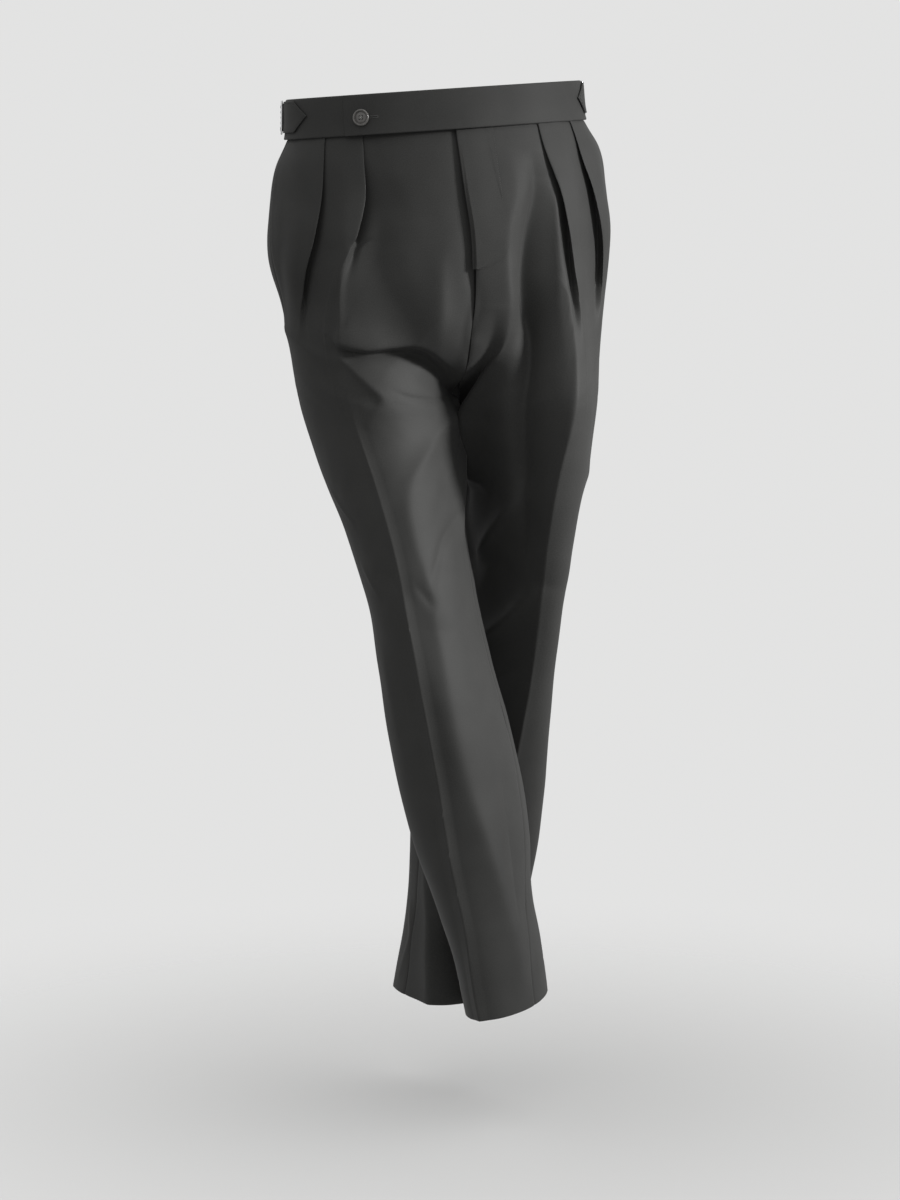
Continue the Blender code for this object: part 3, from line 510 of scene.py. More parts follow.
class Form:
    """The outer face of one half before its pleats and folds, as rows 2 mm apart of evenly spread columns."""

    TOP, STEP, ROWS, COLUMNS = -24.0, 2.0, 520, 513

    def __init__(self, side):
        self.side = side
        faces, rounds = [], []
        for row in range(self.ROWS):
            drop = self.TOP + self.STEP * row
            section = halves_at(drop)[side] if drop <= CROTCH else leg_from_crotch(side, drop)
            points = pressed(side, section, drop)
            around = np.concatenate([[0.0], np.cumsum(np.linalg.norm(np.diff(points, axis=0), axis=1))])
            tangent = np.gradient(points, axis=0)
            if drop > CROTCH:
                tangent[0] = tangent[-1] = points[1] - points[-2]
            tangent /= np.linalg.norm(tangent, axis=1, keepdims=True)
            out = SIGN[side] * np.stack([tangent[:, 1], -tangent[:, 0]], -1)
            even = np.linspace(0.0, around[-1], self.COLUMNS)
            faces.append([np.interp(even, around, column) for column in (*points.T, *out.T)])
            rounds.append(around)
        self.faces = np.array(faces).transpose(0, 2, 1)
        self.rounds = np.array(rounds)
        self.creased = np.array([np.interp(1.0, BETA, around) for around in rounds[:-1]])

    def row_of(self, drop):
        place = np.clip((np.asarray(drop, float) - self.TOP) / self.STEP, 0.0, self.ROWS - 1.001)
        row = place.astype(int)
        return row, place - row

    def at(self, beta, drop):
        """The run at a beta and one drop."""
        row, part = self.row_of(drop)
        around = self.rounds[row] + part * (self.rounds[row + 1] - self.rounds[row])
        return np.interp(beta, BETA, around)

    def length(self, drop):
        row, part = self.row_of(drop)
        return self.rounds[row, -1] + part * (self.rounds[row + 1, -1] - self.rounds[row, -1])

    def run_across(self, x, drop):
        """The run at which the front reaches an X, at one drop."""
        row, part = self.row_of(drop)
        across = self.faces[row, :, 0] + part * (self.faces[row + 1, :, 0] - self.faces[row, :, 0])
        runs = np.linspace(0.0, self.length(drop), self.COLUMNS)
        front = runs <= self.at(2.0, drop)
        reach = np.maximum.accumulate(SIGN[self.side] * across[front])
        return float(np.interp(SIGN[self.side] * x, reach, runs[front]))

    def place(self, run, drop, offset):
        """World points, in millimetres, for arrays of run, drop and offset."""
        run, drop, offset = np.broadcast_arrays(run, drop, offset)
        row, down = self.row_of(drop)
        column = np.clip(run / self.length(drop), 0.0, 0.999999) * (self.COLUMNS - 1)
        left = column.astype(int)
        down, along = down[..., None], (column - left)[..., None]
        above = self.faces[row, left] * (1 - along) + self.faces[row, left + 1] * along
        below = self.faces[row + 1, left] * (1 - along) + self.faces[row + 1, left + 1] * along
        found = above * (1 - down) + below * down
        out = found[..., 2:] / np.linalg.norm(found[..., 2:], axis=-1, keepdims=True)
        spot = found[..., :2] + out * offset[..., None]
        hips = 1 - smoothstep(WAIST_SEAM, CROTCH, drop)
        z = -drop + hips * (WAIST_ROLL * spot[..., 0] + WAIST_PITCH * spot[..., 1])
        hem = smoothstep(CROTCH, HEM[self.side], drop) * HEM_TILT[self.side]
        z = z + hem * (spot[..., 0] - read(LEGS[self.side], "centre_x", drop))
        return np.concatenate([spot, z[..., None]], axis=-1)


def smooth_line(points, steps=5):
    """Points along a smooth curve through a line's own points."""
    ends = np.vstack([2 * points[0] - points[1], points, 2 * points[-1] - points[-2]])
    found = []
    for a, b, c, d in zip(ends, ends[1:], ends[2:], ends[3:]):
        for t in np.arange(steps) / steps:
            bend = 2 * a - 5 * b + 4 * c - d + t * (3 * b - a + d - 3 * c)
            found.append(b + 0.5 * t * (c - a + t * bend))
    return np.array([*found, points[-1]])


def at_crease(form, drop):
    """The run of the front crease at an array of drops."""
    rows = form.TOP + form.STEP * np.arange(form.ROWS - 1)
    return np.interp(drop, rows, form.creased)


def fold_fields(form, run, drop):
    """How far the folds move the cloth outwards, round and down, at arrays of run and drop."""
    sign = SIGN[form.side]
    moved = np.zeros((3, *run.shape))
    girth, creased = form.length(drop), at_crease(form, drop)
    every = ((each, turns) for each in FOLDS[form.side] for turns in (0, 1, -1))
    for (before, after, sharp, over, places), turns in every:
        across = sign * (run - creased + turns * girth)
        line = [(sign * (form.at(beta, low) - form.at(1.0, low)), low, out) for beta, low, out in places]
        line = smooth_line(np.array(line))
        reach = 5 * max(before, after) + 2 * sharp
        low, high = line[:, :2].min(axis=0) - reach, line[:, :2].max(axis=0) + reach
        near = (across > low[0]) & (across < high[0]) & (drop > low[1]) & (drop < high[1])
        if turns:
            near &= drop > CROTCH
        if not near.any():
            continue
        u, v = across[near], drop[near]
        best = np.full(u.shape, np.inf)
        height, side_u, side_v, beside = (np.zeros(u.shape) for _ in range(4))
        for (u1, v1, h1), (u2, v2, h2) in zip(line, line[1:]):
            du, dv = u2 - u1, v2 - v1
            long = math.hypot(du, dv)
            t = np.clip(((u - u1) * du + (v - v1) * dv) / long**2, 0.0, 1.0)
            gap_u, gap_v = u - u1 - t * du, v - v1 - t * dv
            gap = np.hypot(gap_u, gap_v)
            closer = gap < best
            best = np.where(closer, gap, best)
            height = np.where(closer, h1 + t * (h2 - h1), height)
            beside = np.where(closer, gap_u * dv - gap_v * du, beside)
            side_u, side_v = np.where(closer, dv / long, side_u), np.where(closer, -du / long, side_v)
        fade = np.where(beside > 0, after, before)
        shape = np.exp(-(np.sqrt(best**2 + sharp**2) - sharp) / fade)
        lean = over * np.abs(height) / np.abs(line[:, 2]).max() * shape
        if turns:
            shape, lean = (field * smoothstep(CROTCH, CROTCH + 12, v) for field in (shape, lean))
        moved[0][near] += height * shape
        moved[1][near] -= sign * side_u * lean
        moved[2][near] -= side_v * lean
    return moved


def drift(u, v, long, seed):
    """A slow, even wandering between -1 and 1, the same each time."""
    total = 0.0
    for turn in range(6):
        angle = seed + 2.4 * turn
        wave = long * (0.7 + 0.17 * turn)
        along = u * math.cos(angle) + v * math.sin(angle)
        total = total + np.sin(math.tau * along / wave + 1.7 * turn * seed)
    return total / 4.0


def spline_weights(controls, count):
    """Weights that turn control points into points along a cubic B-spline from the first to the last."""
    padded = np.zeros((controls + 2, controls))
    padded[1:-1] = np.eye(controls)
    padded[0, :2], padded[-1, -2:] = (2, -1), (-1, 2)
    place = np.linspace(0.0, controls - 1.0, count)
    first = np.minimum(place.astype(int), controls - 2)
    t = (place - first)[:, None]
    parts = ((1 - t) ** 3, 3 * t**3 - 6 * t**2 + 4, -3 * t**3 + 3 * t**2 + 3 * t + 1, t**3)
    return sum(part * padded[first + number] for number, part in enumerate(parts)) / 6


PLEAT_COLUMNS = 27
PLEAT_WEIGHTS = spline_weights(12, PLEAT_COLUMNS)


def wall_at(drop):
    return CLOTH_AT_BAND + (CLOTH - CLOTH_AT_BAND) * smoothstep(WAIST_SEAM, WAIST_SEAM + 50, drop)


def pleat_path(pleat, drop, seat, shelf_below):
    """A pleat from the cloth under it, back under itself and out over its folded edge."""
    overlap, lift = read(pleat, "overlap", drop), max(read(pleat, "lift", drop), 0.0)
    dip, mouth = max(read(pleat, "dip", drop), 0.0), read(pleat, "mouth", drop)
    under, opened = max(overlap, 0.0), max(-overlap, 0.0) / 2
    low = 0.35 - 0.5 * dip
    high = max(lift - 2 * wall_at(drop) - 0.15, low + 0.1)
    turned = np.array(
        [
            (-mouth - 3, 0.0),
            (-0.6 * mouth, -0.12 * dip),
            (-0.1 * mouth, -0.85 * dip),
            (0.55 * under, -dip),
            (under + 1.2, -0.9 * dip),
            (under + 1.2, low),
            (0.5 * under, 0.5 * (low + high)),
            (2.0, high),
            (-0.3, high + 0.1),
            (-1.3, lift - 0.2),
            (1.6, lift + 0.1),
            (9.0, lift),
        ]
    )
    ramp = np.linspace(-opened - 4.0, opened + 4.0, 12)
    flat = np.column_stack([ramp, lift * smoothstep(-opened - 1.5, opened + 1.5, ramp)])
    flat[:, 1] -= dip * np.exp(-(((ramp + opened + 2.5) / 4.0) ** 2))
    folded = smoothstep(0.0, 5.0, overlap)
    run, offset = (PLEAT_WEIGHTS @ (folded * turned + (1 - folded) * flat)).T
    offset = offset + shelf_below(run + seat)

    def shelf(place):
        return lift * (1 - smoothstep(seat + under + 4, seat + under + 4 + PLEAT_FALL, place))

    return run + seat, offset, shelf


def front_path(form, drop):
    """One row of a front panel: its runs and offsets, from the rise or inseam to the side seam."""
    pleats = PLEATS[form.side]
    inner, outer = pleats["inner"], pleats["outer"]
    inner_run, inner_offset, inner_shelf = pleat_path(inner, drop, form.at(1.0, drop), lambda run: 0.0 * run)
    gone = smoothstep(outer["drop"][-2], outer["drop"][-1] + 40, drop)
    seat = (1 - gone) * form.run_across(read(outer, "across", drop), drop) + gone * form.at(1.5, drop)
    outer_run, outer_offset, outer_shelf = pleat_path(outer, drop, seat, inner_shelf)
    start, end = 0.5 * SEAM_GAP, form.at(2.0, drop) - 0.5 * SEAM_GAP
    first = 1.0 + np.linspace(-1.0, 0.0, 45)[:-1]
    to_first = start + (inner_run[0] - start) * (0.85 * first + 0.15 * first**2)
    between = np.linspace(inner_run[-1], outer_run[0], 14)[1:-1]
    to_side = np.linspace(outer_run[-1], end, 27)[1:]
    mouth = smoothstep(POCKET_TOP - 10, POCKET_TOP + 30, drop)
    mouth *= 1 - smoothstep(POCKET_FOOT - 60, POCKET_FOOT - 10, drop)
    gape = POCKET_GAPE * mouth * smoothstep(end - 14, end, to_side)
    run = np.concatenate([to_first, inner_run, between, outer_run, to_side])
    side_offset = inner_shelf(to_side) + outer_shelf(to_side) + gape
    offset = [0.0 * to_first, inner_offset, inner_shelf(between), outer_offset, side_offset]
    return run, np.concatenate(offset)


def back_path(form, drop):
    """One row of a back panel, from the side seam to the centre back or inseam."""
    start, end = form.at(2.0, drop) + 0.5 * SEAM_GAP, form.length(drop) - 0.5 * SEAM_GAP
    middle = form.at(3.0, drop)
    run = np.concatenate([np.linspace(start, middle, 46)[:-1], np.linspace(middle, end, 46)])
    return run, 0.0 * run


def crest(form, run, drop, beta):
    """The pressed crease: a ridge along a beta, at the runs of one row."""
    if beta == 1.0:
        beta = read(CREASES[form.side], "beta", drop)
    height = CREASE_SHOWN[form.side] * read(LEGS[form.side], "crest", drop) * smoothstep(240, 340, drop)
    beside = np.abs(run - form.at(beta, drop)) / CREASE_REACH[form.side]
    pressed_line = 0.9 * smoothstep(300, 380, drop) * np.exp(-beside * CREASE_REACH[form.side] / 2.2)
    return height * np.maximum(1 - beside, 0.0) ** 1.5 + pressed_line


def panel_drops(side):
    """The rows of a panel: close together down to the top of the thigh, wider down the leg."""
    in_band = [WAIST_SEAM - INTO_BAND_DEEP, WAIST_SEAM - 1.0]
    close = np.concatenate([in_band, np.linspace(WAIST_SEAM + 0.5 * SEAM_GAP, CLOSE_UNTIL, CLOSE_ROWS)])
    wide = np.linspace(CLOSE_UNTIL + 3.5, HEM[side] - 2.5, WIDE_ROWS)
    return np.concatenate([close, wide, HEM[side] - np.array([1.2, 0.4, 0.0])])


def panel_rows(form, kind):
    """A panel's outer face as grids of run, drop and offset, with everything but the folds."""
    drops = panel_drops(form.side)
    path = front_path if kind == "front" else back_path
    beta = 1.0 if kind == "front" else 3.0
    runs, offsets = [], []
    for drop in drops:
        run, offset = path(form, drop)
        seam = np.minimum(run - run[0], run[-1] - run)
        seam_roll = sum(deep * np.exp(-seam / wide) for deep, wide in SEAM_ROLLS)
        runs.append(run)
        offsets.append(offset + crest(form, run, drop, beta) - seam_roll)
    run, offset = np.array(runs), np.array(offsets)
    drop = np.repeat(drops[:, None], run.shape[1], axis=1)
    edge = HEM[form.side] - drop
    sewn = HEM_SEWN * np.exp(-(((edge - HEM_TURNED) / HEM_SEWN_WIDE) ** 2))
    offset -= HEM_ROLL * np.clip(1 - edge / HEM_ROLL_WIDE, 0.0, 1.0) ** 2 + sewn
    offset -= WAIST_TUCK * np.exp(-np.maximum(drop - WAIST_SEAM, 0.0) / WAIST_TUCK_WIDE)
    offset += INTO_BAND * smoothstep(0.0, INTO_BAND_DEEP, WAIST_SEAM - drop)
    return run, drop, offset


def panel_face(form, run, drop, offset):
    """World points of a panel's outer face, with its folds, kept still at its seams."""
    out, round_, down = fold_fields(form, run, drop)
    seam = np.minimum(run - run[:, :1], run[:, -1:] - run)
    free = smoothstep(0.0, 9.0, seam)
    wander = drift(run, drop, SWAY_LONG, SWAY_SEED[form.side]) * SWAY
    wander = wander + drift(run, 0.45 * drop, FINE_SWAY_LONG, 0.6) * FINE_SWAY
    calm = smoothstep(WAIST_SEAM, WAIST_SEAM + 60, drop)
    points = form.place(run + free * round_, drop + free * down, offset + out + calm * wander)
    if run[0, 0] > 1.0:
        eased = BACK_MEETS + 1.2 * seat_ease(drop[:, -1:])
        close_seam(points, np.where(drop[:, -1:] < CROTCH, eased, SEAM_MEETS))
    return points


def close_seam(points, reach):
    """Runs the last column on until it meets the cloth across the seam."""
    ahead = points[:, -1] - points[:, -3]
    points[:, -1] += reach * ahead / np.linalg.norm(ahead, axis=-1, keepdims=True)


def grid_normals(points):
    """Unit normals of a grid whose columns run to -X seen from the front and whose rows run down."""
    along, down = np.gradient(points, axis=1), np.gradient(points, axis=0)
    normal = np.cross(along, down)
    return normal / np.maximum(np.linalg.norm(normal, axis=-1, keepdims=True), 1e-9)


def shell(name, outer, inner, cloth):
    """A closed mesh between two grids of points in millimetres. cloth holds each place's run and drop, which
    become the UV map that the weave follows."""
    rows, columns = outer.shape[:2]
    count = rows * columns
    number = np.arange(count).reshape(rows, columns)
    quads = np.stack([number[:-1, :-1], number[:-1, 1:], number[1:, 1:], number[1:, :-1]], -1).reshape(-1, 4)
    ring = np.concatenate([number[0], number[1:, -1], number[-1, -2::-1], number[-2:0:-1, 0]])
    after = np.roll(ring, -1)
    rim = np.stack([after, ring, ring + count, after + count], -1)
    faces = np.concatenate([quads, quads[:, ::-1] + count, rim])
    points = np.concatenate([outer.reshape(-1, 3), inner.reshape(-1, 3)]) * MM
    mesh = bpy.data.meshes.new(name)
    mesh.vertices.add(len(points))
    mesh.vertices.foreach_set("co", points.ravel())
    mesh.loops.add(faces.size)
    mesh.loops.foreach_set("vertex_index", faces.ravel().astype(np.int32))
    mesh.polygons.add(len(faces))
    mesh.polygons.foreach_set("loop_start", np.arange(0, faces.size, 4, dtype=np.int32))
    mesh.update(calc_edges=True)
    mesh.validate()
    weave = mesh.uv_layers.new(name="cloth")
    places = np.concatenate([cloth.reshape(-1, 2)] * 2) * MM
    weave.data.foreach_set("uv", places[faces.ravel()].ravel())
    mesh.shade_smooth()
    mesh.set_sharp_from_angle(angle=math.radians(SHARP_EDGE))
    return mesh


def add_piece(name, mesh, finish, slot, *nodes):
    """An object that rides on the part and takes the place of its solids."""
    mesh.materials.clear()
    mesh.materials.append(finish)
    made = linked(name, mesh)
    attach(made, "root")
    if nodes:
        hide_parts(*nodes)
    return made


def add_cloth(name, outer, inner, cloth, finish):
    """A shell that takes the place of the solid of the same name."""
    return add_piece(f"{name}_cloth", shell(name, outer, inner, cloth), finish, "wool", name)


def panel(form, kind, finish):
    """A front or back: a thin shell on the form, with its pleats, creases and folds."""
    run, drop, offset = panel_rows(form, kind)
    face = panel_face(form, run, drop, offset)
    cloth = np.stack([run, drop], -1)
    if form.side == "left":
        face, cloth, drop = face[:, ::-1], cloth[:, ::-1], drop[:, ::-1]
    turned = HEM[form.side] - HEM_TURNED
    wall = wall_at(drop) + HEM_CLOTH * smoothstep(turned - 1, turned + 1, drop)
    inner = face - wall[..., None] * grid_normals(face)
    node = f"{kind}_{form.side}"
    made = add_cloth(node, face, inner, cloth, finish)


def edge_round(low, high, edge):
    """The offsets of a plate's two faces, brought together round its edges."""
    half, middle = 0.5 * (high - low), 0.5 * (high + low)
    turn = np.sqrt(1 - (1 - np.clip(edge / half, 0.0, 1.0)) ** 2) * 0.94 + 0.06
    return middle - half * turn, middle + half * turn


def spread(low, high, count, bend):
    """Places from low to high, close together where the ends are rounded."""
    near = bend * np.array([0.0, 0.08, 0.3, 0.65])
    return np.concatenate([low + near, np.linspace(low + bend, high - bend, count), high - near[::-1]])


def tab_low():
    """How far out the back of the extension tab lies."""
    return BAND_OFFSET + BAND_CLOTH + SEAM_GAP


def band_part(form, runs, drops, low, high, edge):
    """Both faces of a stretch of waistband: runs across, drops down, and the two offsets at each run."""
    run, drop = np.meshgrid(runs, drops)
    run = run + (form.length(drop) - form.length(0.0)) * smoothstep(0.5, 1.0, run / form.length(0.0))
    crown = 0.5 * (1 - (drop / BAND_HALF) ** 2)
    wander = 0.35 * drift(run, 2 * drop, 120.0, BAND_SEED[form.side])
    edge = np.minimum(edge + 0 * run, BAND_HALF - np.abs(drop))
    inside, outside = edge_round(low + 0 * run, high + crown, edge)
    outer, inner = form.place(run, drop, outside + wander), form.place(run, drop, inside + wander)
    if runs[-1] > form.at(3.0, 0.0):
        close_seam(outer, BACK_MEETS)
        close_seam(inner, BACK_MEETS)
    return outer, inner, np.stack([run, drop], -1)


def waistband_right(form, finish):
    drops = spread(-BAND_HALF, BAND_HALF, BAND_ROWS, BAND_BEND)
    runs = spread(0.5 * SEAM_GAP, form.length(0.0) - 0.5 * SEAM_GAP, BAND_COLUMNS, BAND_BEND)
    edge = np.minimum(runs - runs[0], runs[-1] - runs)
    outer, inner, cloth = band_part(form, runs, drops, BAND_OFFSET, BAND_OFFSET + BAND_CLOTH, edge)
    made = add_cloth("waistband_right", outer, inner, cloth, finish)
    round(form.length(0.0) * MM, 3)


def waistband_left(form, over, finish):
    """The left band, which rises over the end of the right one and runs on as the extension tab."""
    drops = spread(-BAND_HALF, BAND_HALF, BAND_ROWS, BAND_BEND)
    tab_runs = spread(0.0, over.run_across(TAB_END, 0.0), TAB_COLUMNS, BAND_BEND)[4:]
    edge = tab_runs[-1] - tab_runs
    thin = 1.5 * (1 - smoothstep(0.0, 12.0, edge))
    tab = band_part(over, tab_runs, drops, tab_low(), tab_low() + TAB_CLOTH - thin, edge)
    runs = spread(0.0, form.length(0.0) - 0.5 * SEAM_GAP, BAND_COLUMNS, BAND_BEND)[4:]
    risen = 1 - smoothstep(0.0, 60.0, runs)
    low = BAND_OFFSET + risen * (tab_low() - BAND_OFFSET)
    high = low + BAND_CLOTH + (TAB_CLOTH - BAND_CLOTH) * risen
    outer, inner, cloth = band_part(form, runs, drops, low, high, runs[-1] - runs)
    cloth[..., 0] *= -1
    both = zip((outer, inner, cloth), tab)
    faces = [np.concatenate([left[:, ::-1], right], axis=1) for left, right in both]
    made = add_cloth("waistband_left", *faces, finish)
    long = form.length(0.0) + tab_runs[-1]


def plate(form, runs, drops, low, high, edge):
    """Both faces and the weave of a plate laid on a form. Everything may be a grid."""
    inside, outside = edge_round(low, high, edge)
    outer, inner = form.place(runs, drops, outside), form.place(runs, drops, inside)
    cloth = np.stack(np.broadcast_arrays(runs, drops), -1)
    if form.side == "left":
        outer, inner, cloth = outer[:, ::-1], inner[:, ::-1], cloth[:, ::-1]
    return outer, inner, cloth


def pocket_facing(form, finish):
    """The strip behind the side seam that shows in the mouth of the pocket."""
    drops = np.linspace(POCKET_TOP + 1, POCKET_FOOT - 1, 80)[:, None]
    seam = np.array([form.at(2.0, drop) for drop in drops[:, 0]])[:, None]
    runs = seam + np.linspace(*POCKET_STRIP, 14)[None, :]
    out = fold_fields(form, runs, drops + 0 * runs)[0]
    high = out - CLOTH - POCKET_DEPTH + 0 * runs
    name = f"pocket_facing_{form.side}"
    outer, inner, cloth = plate(form, runs, drops, high - 1.0, high, 5.0 + 0 * runs)
    made = add_cloth(name, outer, inner, cloth, finish)


def fly_width(drop):
    down = np.clip((drop - FLY_J) / (FLY_FOOT - FLY_J), 0.0, 1.0)
    return FLY_WIDE * np.sqrt(1 - down**2)


def fly_placket(form, over, finish, thread):
    """The lap of the fly: its folded edge lies over the seam, and its other edge is sewn down flat in a J."""
    curve = FLY_FOOT - (FLY_FOOT - FLY_J) * (1 - np.sin(np.linspace(0.08, 1.555, 26)))
    down = np.concatenate([np.linspace(WAIST_SEAM + 0.5, FLY_J, 60), curve])
    share = np.concatenate([[0.0, 0.01, 0.03, 0.06, 0.1], np.linspace(0.15, 1.0, 26)])
    wide = fly_width(down)[:, None] + 0.6
    runs, drops = share[None, :] * wide, down[:, None] + 0 * share[None, :]
    folds = fold_fields(form, runs, drops)[0]
    bulge = 1.0 - smoothstep(0.25, 1.0, runs / wide)
    folds = folds + 0.3 * np.sin(drops / 1.7) * np.exp(-((runs / wide - 0.9) / 0.12) ** 2) * 0.25
    outer = form.place(runs, drops, folds + (0.35 + bulge) + 0.45)
    inner = form.place(runs, drops, folds + 0.3)
    lap = np.array([FLY_LAP, FLY_LAP - 0.1, FLY_LAP - 0.5, 1.6, 0.7])
    lap_run, lap_drop = np.broadcast_arrays(lap[None, :], down[:, None])
    turn = np.array([0.05, 0.55, 0.85, 1.0, 1.0])[None, :]
    lap_out = over.place(lap_run, lap_drop, 1.05 + 0.75 * turn)
    lap_in = over.place(lap_run, lap_drop, 1.05 - 0.75 * turn)
    outer, inner = np.concatenate([lap_out, outer], axis=1), np.concatenate([lap_in, inner], axis=1)
    cloth = np.concatenate([np.stack([-lap_run, lap_drop], -1), np.stack([runs, drops], -1)], axis=1)
    faces = [grid[:, ::-1] for grid in (outer, inner, cloth)]
    made = add_cloth("fly_placket", *faces, finish)
    wide = fly_width(down)
    path = np.stack([np.maximum(wide - 1.0, 0.5), down], -1)
    lift = fold_fields(form, path[None, :, 0], path[None, :, 1])[0][0]
    stitches("fly_stitches", form, path, float(lift.mean()) + 0.75, thread)


def tab_edge(length, height):
    """How far inside the pointed tab's outline a place is: its length behind the tip and its height."""
    steep = math.atan2(ADJUSTER_HIGH / 2, ADJUSTER_POINT)
    point = (length * math.tan(steep) - np.abs(height)) * math.cos(steep)
    return np.minimum(np.minimum(point, ADJUSTER_HIGH / 2 - np.abs(height)), TAB_BACK - length)


def adjuster_tab(form, finish, thread):
    """The pointed tab of a side adjuster, stitched round close to its edge."""
    name = f"adjuster_tab_{form.side}"
    middle = np.linspace(2.5, TAB_BACK - 1.2, 62)
    lengths = np.concatenate([[0.3, 0.8, 1.5], middle, [TAB_BACK - 0.5, TAB_BACK]])
    across = [-1, -0.985, -0.955, -0.91, *np.linspace(-0.85, 0.85, 25), 0.91, 0.955, 0.985, 1]
    height = np.array(across)[:, None] * ADJUSTER_HIGH / 2 * np.clip(lengths / ADJUSTER_POINT, 0.0, 1.0)
    edge = np.maximum(tab_edge(lengths + 0 * height, height), 0.0)
    low = tab_low() + ADJUSTER_GAP + 0 * height
    sunk = 0.14 * np.exp(-(((edge - STITCH_INSET) / 0.5) ** 2))
    runs = form.at(ADJUSTER_TIP, 0.0) + lengths + 0 * height
    outer, inner, cloth = plate(form, runs, ADJUSTER_DROP + height, low, low + ADJUSTER_CLOTH - sunk, edge)
    made = add_cloth(name, outer, inner, cloth, finish)
    steep = math.atan2(ADJUSTER_HIGH / 2, ADJUSTER_POINT)
    tip, half = STITCH_INSET / math.sin(steep), ADJUSTER_HIGH / 2 - STITCH_INSET
    turn = tip + half / math.tan(steep)
    path = np.array([(TAB_BACK - 4, -half), (turn, -half), (tip, 0.0), (turn, half), (TAB_BACK - 4, half)])
    path += (form.at(ADJUSTER_TIP, 0.0), ADJUSTER_DROP)
    stitches(f"{name}_stitches", form, path, low[0, 0] + ADJUSTER_CLOTH - 0.1, thread)


def adjuster_strap(form, finish):
    """The strap, which comes over the buckle's middle bar and runs back round the band."""
    name = f"adjuster_strap_{form.side}"
    end = ADJUSTER_BUCKLE + STRAP_LONG
    near = np.linspace(TAB_BACK + 0.6, TAB_BACK + 10, 20)
    lengths = np.concatenate([near, np.linspace(TAB_BACK + 11, end, 50)])
    across = [-1, -0.98, -0.94, -0.88, *np.linspace(-0.8, 0.8, 19), 0.88, 0.94, 0.98, 1]
    height = np.array(across)[:, None] * STRAP_HIGH / 2 + 0 * lengths
    edge = np.minimum(STRAP_HIGH / 2 - np.abs(height), end - lengths + 0.3)
    over = STRAP_RISE * np.exp(-(((lengths - ADJUSTER_BUCKLE) / 2.4) ** 2))
    low = tab_low() + ADJUSTER_GAP + over + 0 * height
    thick = 1.2 + 0.25 * np.cos(height * 1.1) * np.exp(-(((lengths - ADJUSTER_BUCKLE) / 9.0) ** 2))
    runs = form.at(ADJUSTER_TIP, 0.0) + lengths + 0 * height
    outer, inner, cloth = plate(form, runs, ADJUSTER_DROP + height, low, low + thick, edge)
    made = add_cloth(name, outer, inner, cloth, finish)


def stand_at(form, drop, run, offset):
    """The matrix of a thing on the cloth: Z is outwards and X goes round the section, away from the front."""
    spot, ahead = form.place(np.array([run, run + 1.0]), np.full(2, drop), np.full(2, offset))
    above, below = form.place(np.full(2, run), np.array([drop - 12.0, drop + 12.0]), np.full(2, offset))
    ahead, up = Vector(ahead - spot).normalized(), Vector(above - below).normalized()
    out = (SIGN[form.side] * ahead.cross(up)).normalized()
    turn = Matrix((ahead, out.cross(ahead), out)).transposed()
    return Matrix.Translation(spot * MM) @ turn.to_4x4()


def mesh_of(name, shape):
    """A smooth mesh made from a bmesh."""
    mesh = bpy.data.meshes.new(name)
    shape.to_mesh(mesh)
    shape.free()
    mesh.shade_smooth()
    return mesh


def linked(name, data):
    made = bpy.data.objects.new(name, data)
    bpy.context.scene.collection.objects.link(made)
    return made


def frozen(thing):
    """The mesh that an object shows, with its modifiers or its bevel."""
    bpy.context.view_layer.update()
    return bpy.data.meshes.new_from_object(thing.evaluated_get(bpy.context.evaluated_depsgraph_get()))


def adjuster_buckle(form, finish):
    """A slide buckle: a flat frame of rounded wire with a middle bar."""
    name = f"adjuster_buckle_{form.side}"
    half_long, half_high, wire, bar = BUCKLE_LONG / 2, BUCKLE_HIGH / 2, BUCKLE_WIRE, BUCKLE_WIRE / 2
    columns = [-half_long, wire - half_long, -bar, bar, half_long - wire, half_long]
    heights = [-half_high, -half_high + wire, half_high - wire, half_high]
    shape = bmesh.new()
    verts = [[shape.verts.new((x * MM, y * MM, 0.0)) for x in columns] for y in heights]
    faces = []
    for row, column in np.ndindex(3, 5):
        if row != 1 or column not in (1, 3):
            below, above = (verts[each][column:column + 2] for each in (row, row + 1))
            faces.append(shape.faces.new((*below, *above[::-1])))
    made = bmesh.ops.extrude_face_region(shape, geom=faces)
    raised = [each for each in made["geom"] if isinstance(each, bmesh.types.BMVert)]
    bmesh.ops.translate(shape, verts=raised, vec=(0, 0, BUCKLE_THICK * MM))
    bmesh.ops.recalc_face_normals(shape, faces=shape.faces[:])
    sharp = [edge for edge in shape.edges if edge.calc_face_angle(0.0) > 0.5]
    bmesh.ops.bevel(shape, geom=sharp, offset=0.62 * MM, segments=4, profile=0.5, affect="EDGES")
    height = tab_low() + ADJUSTER_GAP + ADJUSTER_CLOTH + BUCKLE_GAP
    run = form.at(ADJUSTER_TIP, 0.0) + ADJUSTER_BUCKLE
    shape.transform(stand_at(form, ADJUSTER_DROP, run, height))
    add_piece(f"{name}_metal", mesh_of(name, shape), finish, "steel", name)


